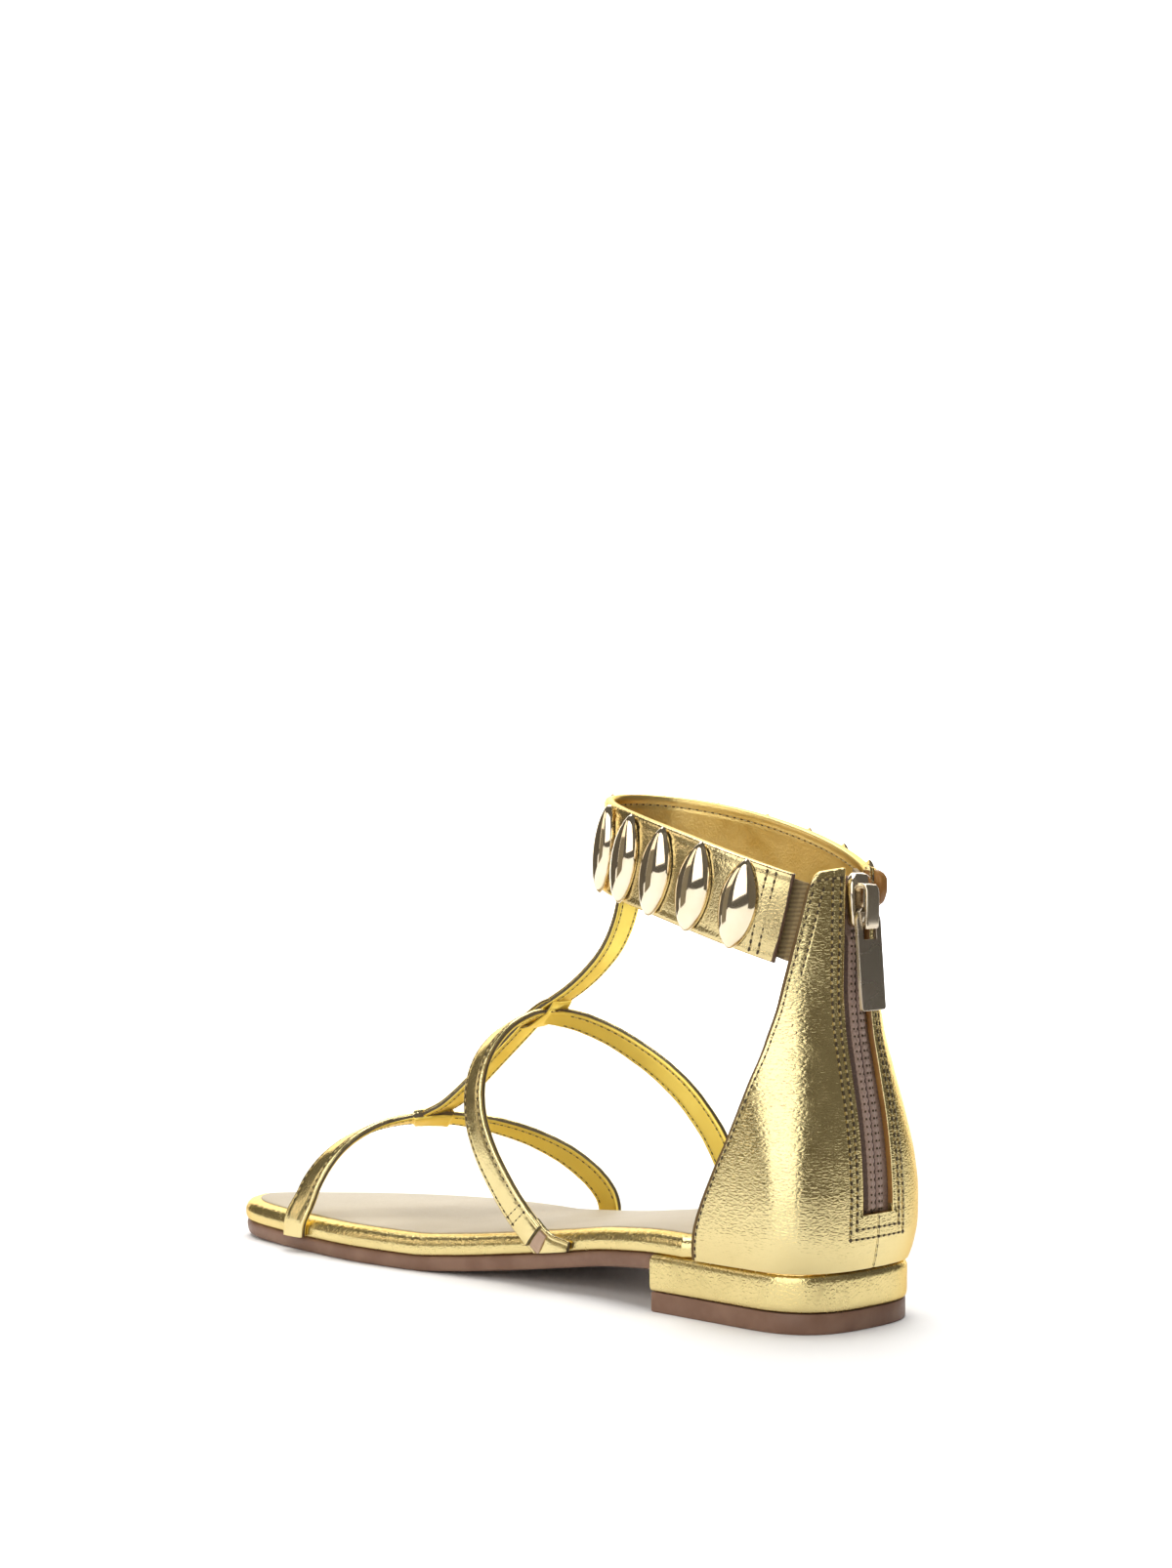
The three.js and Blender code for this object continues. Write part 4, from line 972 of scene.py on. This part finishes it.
def make_zip():
    b = Build()
    z = np.arange(ZIP_BOTTOM - 4, ZIP_TOP, 0.5)
    wide = 9.2
    y = np.concatenate([np.linspace(-wide, -3.6, 8), [-3.3], np.linspace(-2.9, 2.9, 31), [3.3],
                        np.linspace(3.6, wide, 8)])
    grid_z, grid_y = np.meshgrid(z, y, indexing="ij")
    ridge = np.clip(1 - ((np.abs(grid_y) - 1.5) / 1.45) ** 2, 0, 1) ** 0.5
    run = np.clip((grid_z - ZIP_BOTTOM) / 1.2, 0, 1) * np.clip((CHAIN_TOP + 1 - grid_z) / 1.2, 0, 1)
    rib = 0.16 * np.sin(grid_z * 2 * math.pi / 2.0 + np.sign(grid_y) * 0.8)
    lift = run * ridge * (1.9 + rib)
    edge = np.clip((np.abs(grid_y) - 3.6) / (float(zip_half(60)) - 3.6), 0, 1)
    lift = lift + 0.25 * (1 - edge) * np.clip(np.abs(grid_y) - 3.3, 0, 1)
    half = zip_half(grid_z) + 2.6
    squeezed = grid_y * np.where(np.abs(grid_y) > 3.6, half / wide, 1.0)
    outer = back_point(squeezed, grid_z, TAPE_DEPTH - lift)
    inner = back_point(squeezed, grid_z, TAPE_DEPTH + 0.9)
    faces = grid_faces(len(z), len(y))
    middle = np.abs(y[faces[:, 0] % len(y)] + 0.1)
    groove = (middle < 0.35) | ((middle > 2.7) & (middle < 3.5))
    thicken(b, outer.reshape(-1, 3), inner.reshape(-1, 3), faces, (groove.astype(int), 0, 0))
    b.object("zip_weave", [TAPE, TAPE_SHADE], "zip_tape", replaces=["zip_tape"])
    seams = Build()
    z = np.linspace(ZIP_BOTTOM + 1, CHAIN_TOP + 12, 400)
    normal = np.tile([-1.0, 0, 0], (len(z), 1))
    for off, deep in ((1.0, 1.75), (2.1, 1.65)):
        for sign in (-1, 1):
            line = back_point(np.full(len(z), sign * off), z, TAPE_DEPTH - deep)
            stitch_row(seams, line, normal, 2.0, (0.3, 0.34, 0.3), (0.34, 0.3, 0.36))
    seams.object("zip_chain", [CHAIN_THREAD, HOLE_SHADE], "zip_tape")


# Slider, pull tab and tape end
SLIDER = dict(x=13.5, half=4.6, thick=3.0)
BRIDGE = dict(low=106.4, high=118.8, half=2.2, inner=8.0)
HINGE_X, HINGE_Z, HINGE_R, HANG = 9.25, 111.6, 0.6, 5.0
PULL = dict(half=4.9, thick=1.2, bottom=84.8, slot=2.75, slot_low=103.8)
TAPE_END = [[112.4, 10.6, 2.0], [113.6, 9.4, 2.5], [117, 8.6, 2.8],
            [119.6, 8.7, 2.8], [121.2, 9.6, 2.5], [122, 10.8, 1.8]]
TAPE_SEAT = 11.4


def rounded(points, radius, steps=5):
    """A closed plan with each corner replaced by an arc."""
    p = np.asarray(points, float)
    out = []
    for i in range(len(p)):
        a, b, c = p[i - 1], p[i], p[(i + 1) % len(p)]
        r = min(radius, 0.49 * np.linalg.norm(a - b), 0.49 * np.linalg.norm(c - b))
        u, v = b + unit(a - b) * r, b + unit(c - b) * r
        for t in np.linspace(0, 1, steps):
            out.append((1 - t) ** 2 * u + 2 * t * (1 - t) * b + t * t * v)
    return np.array(out)


def make_slider():
    b = Build()
    back, front = SLIDER["x"], SLIDER["x"] - SLIDER["thick"]
    rows = [[107.0, 2.6, 1.0], [107.5, 3.3, 0.5], [108.4, 3.75, 0.15], [110, 4.0, 0], [113, 4.3, 0],
            [116.2, 4.6, 0], [118, 4.5, 0.05], [119.4, 4.1, 0.25], [120.5, 3.4, 0.6], [121.1, 2.7, 1.0],
            [121.4, 1.9, 1.5]]
    half_at, cut_at = curve(rows, 1), curve(rows, 2)
    rings = []
    levels = [np.linspace(107, 108.4, 8), np.linspace(108.9, 118.9, 20), np.linspace(119.2, 121.4, 12)]
    for z in np.concatenate(levels):
        h, cut = float(half_at(z)), float(cut_at(z))
        face = front + cut
        plan = rounded([[back, -h + 0.3], [face, -h], [face - 0.25, 0], [face, h], [back, h - 0.3]], 0.9)
        rings.append([[x, HEEL_Y + y, z] for x, y in plan])
    sweep(b, rings)
    f, r = front, BRIDGE
    path = smooth_profile([[f + 0.6, r["low"] + 0.65], [r["inner"] + 0.1, r["low"] + 0.65], [7.65, 107.3],
                           [7.5, 108.6], [7.45, 112], [7.5, 115.6], [7.7, 117.2],
                           [r["inner"] + 0.6, r["high"] - 0.65], [f + 0.6, r["high"] - 0.4]], 60)
    tangent = unit(np.gradient(path, axis=0))
    off = np.stack([-tangent[:, 1], tangent[:, 0]], axis=1)
    rings = []
    for p, n, k in zip(path, off, np.linspace(-1, 1, len(path))):
        wide = r["half"] + 0.35 * (1 - k * k)
        plan = rounded([[-wide, -0.5], [wide, -0.5], [wide, 0.5], [-wide, 0.5]], 0.35, 4)
        rings.append([[p[0] + v * n[0], HEEL_Y + u, p[1] + v * n[1]] for u, v in plan])
    sweep(b, rings)
    b.object("slider_metal", [SLIDER_METAL], "pale_metal", replaces=["zip_slider"], auto=50)


def make_pull():
    p = PULL
    rows = [[p["bottom"], p["half"] - 0.7], [p["bottom"] + 0.25, p["half"] - 0.3],
            [p["bottom"] + 0.7, p["half"]],
            [95.0, p["half"]], [p["slot_low"], p["half"]], [HINGE_Z - 2.6, p["half"]],
            [HINGE_Z - HINGE_R, p["half"] - 0.9], [HINGE_Z + HINGE_R, p["half"] - 2.2]]
    grid = []
    for z, h in rows:
        slot = min(p["slot"], h - 0.5)
        grid.append([[-h, z], [-slot, z], [slot, z], [h, z]])
    grid = np.array(grid)
    faces = grid_faces(len(rows), 4)
    hole = [i for i, face in enumerate(faces) if face[0] % 4 == 1 and face[0] // 4 in (4, 5)]
    faces = np.delete(faces, hole, axis=0)
    flat = grid.reshape(-1, 2)
    lean = math.radians(HANG)

    def hung(x):
        dz = flat[:, 1] - HINGE_Z
        return np.stack([HINGE_X + x * math.cos(lean) + dz * math.sin(lean), HEEL_Y + flat[:, 0],
                         HINGE_Z - x * math.sin(lean) + dz * math.cos(lean)], axis=1)
    b = Build()
    thicken(b, hung(-p["thick"] / 2), hung(p["thick"] / 2), faces)
    piece = b.object("pull_plate", [PEWTER], "pewter", body="pull_tab", replaces=["zip_pull"], auto=35)
    bevel = piece.modifiers.new("edge", "BEVEL")
    bevel.width = 0.22 * MM
    bevel.segments = 3
    bevel.limit_method = "ANGLE"
    bevel.angle_limit = math.radians(40)
    bevel.harden_normals = True


def make_tape_end():
    y = HEEL_Y - SLIDER["half"] - 0.6
    z_at = np.linspace(TAPE_END[0][0], TAPE_END[-1][0], 24)
    out, wide = curve(TAPE_END, 1), curve(TAPE_END, 2)
    rings = []
    for z in z_at:
        x, w = float(out(z)), float(wide(z))
        plan = rounded([[x, y - w], [x, y], [TAPE_SEAT, y], [TAPE_SEAT, y - w]], 0.6)
        rings.append([[px, py, z] for px, py in plan])
    sweep(Build(), rings).object("tape_end_fold", [PATENT], "zip_tape", replaces=["zip_tape_end"], auto=50)


# Ankle band; angle 0 is the front, v runs 0 at the lower edge to 1 at the top
BAND = dict(cx=55.4, cy=2.0, a=43.6, b=26.2, e=0.92, z=132.2, slope=0.257, bow=-2.8, lean=2.4)
BAND_END_TOP, BAND_END_LOW = 141.7, 135.2
BAND_END_ROWS = (4.3, 6.7)
RIM_SEAM = 0.885


def band_plan(deg, depth):
    deg, depth = np.broadcast_arrays(np.asarray(deg, float), np.asarray(depth, float))

    def at(q):
        c, s = np.cos(np.radians(q)), np.sin(np.radians(q))
        return np.stack([BAND["a"] * np.sign(c) * np.abs(c) ** BAND["e"],
                         BAND["b"] * np.sign(s) * np.abs(s) ** BAND["e"]], axis=-1)
    t = unit(at(deg + 0.7) - at(deg - 0.7))
    inward = np.stack([-t[..., 1], t[..., 0]], axis=-1)
    return at(deg) + [BAND["cx"], BAND["cy"]] + inward * depth[..., None], at(deg)[..., 0]


def band_point(deg, v, depth):
    p, u = band_plan(deg, depth)
    top = BAND["z"] + BAND["slope"] * u + BAND["bow"] * (u / BAND["a"]) ** 2
    v = np.broadcast_to(np.asarray(v, float), u.shape)
    return np.stack([p[..., 0] + BAND["lean"] * (1 - v), p[..., 1], top - BAND_HEIGHT * (1 - v)], axis=-1)


def band_tables():
    deg = np.arange(-150.0, 151.0)
    p, _ = band_plan(deg, 0.0)
    s = np.concatenate([[0], np.cumsum(np.linalg.norm(np.diff(p, axis=0), axis=1))])
    return deg, s - s[150]


BAND_DEG, BAND_ARC = band_tables()


def angle_at(mm):
    return np.interp(mm, BAND_ARC, BAND_DEG)


def make_band():
    w = BAND_WALL
    front = np.array([
        [0.0, 1.2], [0.0, 0.8], [0.008, 0.42], [0.03, 0.14], [0.06, 0.02], [0.09, 0.12], [0.11, 0.1],
        [0.14, -0.05], [0.25, -0.2], [0.4, -0.28], [0.5, -0.3], [0.6, -0.28], [0.75, -0.2], [0.86, -0.05],
        [0.89, 0.1], [0.91, 0.12], [0.94, 0.02], [0.97, 0.14], [0.992, 0.42], [1.0, 0.8], [1.0, 1.2]])
    back = np.array([
        [0.0, 0.9], [0.008, 0.4], [0.03, 0.1], [0.06, 0], [0.1, 0.05], [0.14, 0.12], [0.25, 0.1],
        [0.4, 0.1], [0.5, 0.1], [0.6, 0.1], [0.75, 0.1], [0.83, 0.12], [0.86, 0.08], [RIM_SEAM, 0.3],
        [0.91, 0.08], [0.94, 0], [0.97, 0.05], [0.985, 0.2], [0.993, 0.4], [1.0, 0.75], [1.0, 0.9]])
    back[:, 1] = w - back[:, 1]
    section = np.concatenate([front, back[::-1]])
    rings = []
    for f in np.linspace(-1, 1, 260):
        eased = f * (1 - 0.12 * (1 - f * f))
        deg = eased * (BAND_END_LOW + (BAND_END_TOP - BAND_END_LOW) * section[:, 0])
        wave = 0.1 * np.sin(17 * f + 3 * section[:, 0]) * np.sin(math.pi * section[:, 0])
        rings.append(band_point(deg, section[:, 0], section[:, 1] + wave * (section[:, 1] < 0.5)))
    n = len(front)
    mats = np.concatenate([np.zeros(n), np.full(len(back) - 4, 1), np.zeros(4)]).astype(int)
    b = Build()
    sweep(b, rings, mats, (2, 2))
    for side in (1, -1):
        fold = []
        for vi in np.linspace(0.005, 0.995, 40):
            end = side * (BAND_END_LOW + (BAND_END_TOP - BAND_END_LOW) * vi)
            ring = []
            for a in np.linspace(0, 2 * math.pi, 20, endpoint=False):
                depth = w / 2 - 0.1 + (w / 2 + 0.15) * math.sin(a)
                ring.append(band_point(end + side * math.cos(a), vi, depth))
            fold.append(ring)
        sweep(b, np.array(fold).reshape(len(fold), 20, 3), 2, (2, 2))
    b.object("band_leather", [GOLD_BAND_SHADED, BAND_LINING, FOLD_LEATHER], "gold_leather",
             replaces=["ankle_band"], auto=60)
    seams = Build()
    for side in (1, -1):
        for back_off in BAND_END_ROWS:
            v = np.linspace(0.06, 0.94, 60)
            end = BAND_END_LOW + (BAND_END_TOP - BAND_END_LOW) * v
            arc = np.interp(side * end, BAND_DEG, BAND_ARC) - side * back_off
            deg = angle_at(arc)
            p, q = band_point(deg, v, -0.2), band_point(deg, v, -1.2)
            stitch_row(seams, p, unit(q - p))
    deg = np.linspace(-130, 130, 500)
    p, q = band_point(deg, RIM_SEAM, w - 0.28), band_point(deg, RIM_SEAM, w + 1)
    stitch_row(seams, p, unit(q - p), 2.3, (0.25, 0.24, 0.2), (0.5, 0.24, 0.15))
    seams.object("band_stitches", [THREAD_GOLD, HOLE_SHADE], "gold_leather")


# Studs, by the middle of each along the band from the front, inner side positive
STUD_ARCS = [79.2, 65.4, 51.8, 38.6, 26, 2.5, -11.5, -27, -42.5, -57.5, -71.5, -84.5]


def make_stud(number, s):
    lean = 1 if s >= 0 else -1
    along, across = 40, np.cos(np.linspace(math.pi, 0, 17))
    rings = []
    for f in -np.cos(np.linspace(0, math.pi, along + 1)):
        g = max(1 - f * f, 0.004)
        half, rise = 0.5 * STUD_WIDTH * g ** (0.85 if f > 0 else 0.62), STUD_HEIGHT * g ** 0.5
        q = f * 0.5 * STUD_LENGTH
        height = 0.15 + rise * np.sqrt(1 - 0.985 * across ** 2)
        mm = s + lean * (across * half + q / STUD_LENGTH * STUD_SLANT)
        v = np.full(len(across), 0.5 + q / BAND_HEIGHT)
        dome = band_point(angle_at(mm), v, -0.25 - GAP - height)
        flat = band_point(angle_at(mm), v, -0.25 - GAP)
        rings.append(np.concatenate([dome, flat[::-1]]))
    b = sweep(Build(), rings)
    b.object(f"dome_{number:02d}", [STUD_METAL], "pale_metal", replaces=[f"stud_{number:02d}"], auto=60)


# Pieces
make_outsole()
make_footbed()
make_sock()
make_heel()
make_upper()
make_counter()
make_zip()
make_slider()
make_pull()
make_tape_end()
make_band()
for index, arc in enumerate(STUD_ARCS):
    make_stud(index + 1, arc)
for gore in ("gore_inner", "gore_outer"):
    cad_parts[gore].data.materials.clear()
    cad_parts[gore].data.materials.append(ELASTIC)


# Floor, cards, lights and camera
def plain(name, color, rough=0.6, emission=0.0):
    m = bpy.data.materials.new(name)
    m.use_nodes = True
    bsdf = m.node_tree.nodes["Principled BSDF"]
    bsdf.inputs["Base Color"].default_value = (*color, 1)
    bsdf.inputs["Roughness"].default_value = rough
    bsdf.inputs["Emission Color"].default_value = (*color, 1)
    bsdf.inputs["Emission Strength"].default_value = emission
    return m


def facing(place, direction):
    return Matrix.Translation(place) @ direction.to_track_quat("Z", "Y").to_matrix().to_4x4()


def card(name, center, toward, width, height, material, seen=False, lights=True):
    """A flat staged panel facing a point; one that isn't seen or doesn't light is for reflections."""
    center, toward = Vector(center), Vector(toward)
    mesh = bpy.data.meshes.new(name)
    w, h = width / 2, height / 2
    mesh.from_pydata([(-w, -h, 0), (w, -h, 0), (w, h, 0), (-w, h, 0)], [], [(0, 1, 2, 3)])
    mesh.materials.append(material)
    panel = bpy.data.objects.new(name, mesh)
    panel.matrix_world = facing(center, toward - center)
    panel.visible_camera = seen
    panel.visible_diffuse = lights
    panel.visible_shadow = lights
    bpy.context.scene.collection.objects.link(panel)
    return panel


def around(angle, distance, z):
    """A place round the shoe, angle 0 at +Y and 90 at -X, as seen from above."""
    a = math.radians(angle)
    return (-distance * math.sin(a), distance * math.cos(a), z)


floor_paper = plain("floor_paper", (0.92, 0.92, 0.92), 0.75)
backdrop_white = plain("backdrop_white", (1, 1, 1), emission=1.08)
dark_card = plain("dark_card", (0.045, 0.038, 0.028), emission=1.0)
dim_card = plain("dim_card", (0.1, 0.085, 0.06), emission=1.0)
bright_card = plain("bright_card", (1, 1, 1), emission=1.35)
warm_card = plain("warm_card", (1, 0.88, 0.72), emission=0.55)
AIM = (0, 0, 0.07)
floor = card("floor", (0, 0, 0), (0, 0, 1), 1.8, 1.4, floor_paper, seen=True)
floor.matrix_world = Matrix.Translation(around(225, 0.2, 0)) @ Matrix.Rotation(math.radians(45), 4, "Z")
card("backdrop", around(225, 0.8, 0.45), around(225, 0, 0.45), 1.7, 1.0, backdrop_white, seen=True)
card("flag_back", around(90, 0.36, 0.2), around(90, 0, 0.2), 0.4, 0.4, dark_card, lights=False)
card("flag_front", around(-30, 0.42, 0.1), around(-30, 0, 0.1), 0.2, 0.2, dim_card, lights=False)
card("flag_toe", around(-74, 0.42, 0.3), around(-74, 0, 0.3), 0.34, 0.6, dark_card, lights=False)
card("fill", around(-38, 1.2, 0.42), AIM, 0.55, 0.84, warm_card)
card("strip", around(-78, 0.9, 0.4), AIM, 0.07, 0.7, bright_card)
card("softbox", around(19, 1.1, 0.46), AIM, 1.24, 0.94, bright_card)

world = bpy.data.worlds.new("studio")
world.use_nodes = True
world.node_tree.nodes["Background"].inputs["Color"].default_value = (1, 0.93, 0.84, 1)
world.node_tree.nodes["Background"].inputs["Strength"].default_value = 0.12
bpy.context.scene.world = world


def area(name, place, toward, size, power):
    lamp = bpy.data.lights.new(name, "AREA")
    lamp.shape = "RECTANGLE"
    lamp.size, lamp.size_y = size
    lamp.energy = power
    holder = bpy.data.objects.new(name, lamp)
    place, toward = Vector(place), Vector(toward)
    holder.matrix_world = facing(place, place - toward)
    bpy.context.scene.collection.objects.link(holder)
    return holder


area("overhead", (0.1, -0.1, 1.3), (0, 0, 0), (1.2, 1.2), 19)

AZIMUTH, ROLL = math.radians(45.27), math.radians(0.17)
LOOK = Vector((0.7032893, -0.7099428, -0.0369510)).normalized()
CAMERA_PLACE = Vector((-528.358 + ORIGIN[0], 651.429 + ORIGIN[1], 163.752)) * MM
FOCAL_PX, CENTER_X, CENTER_Y = 3236.55, 598.83, 849.97
PHOTO_WIDTH, PHOTO_HEIGHT = 1200, 1606


def make_camera():
    right = Vector((-math.sin(AZIMUTH), -math.cos(AZIMUTH), 0))
    up = right.cross(LOOK)
    right, up = (right * math.cos(ROLL) + up * math.sin(ROLL), up * math.cos(ROLL) - right * math.sin(ROLL))
    lens = bpy.data.cameras.new("photo_camera")
    lens.sensor_fit = "HORIZONTAL"
    lens.sensor_width = 36
    lens.lens = 36 * FOCAL_PX / PHOTO_WIDTH
    lens.shift_x = (PHOTO_WIDTH / 2 - CENTER_X) / PHOTO_WIDTH
    lens.shift_y = (CENTER_Y - PHOTO_HEIGHT / 2) / PHOTO_WIDTH
    lens.clip_start = 0.01
    holder = bpy.data.objects.new("photo_camera", lens)
    axes = Matrix((right, up, -LOOK)).transposed().to_4x4()
    holder.matrix_world = Matrix.Translation(CAMERA_PLACE) @ axes
    bpy.context.scene.collection.objects.link(holder)
    bpy.context.scene.camera = holder


make_camera()
bpy.context.scene.view_settings.view_transform = "Standard"
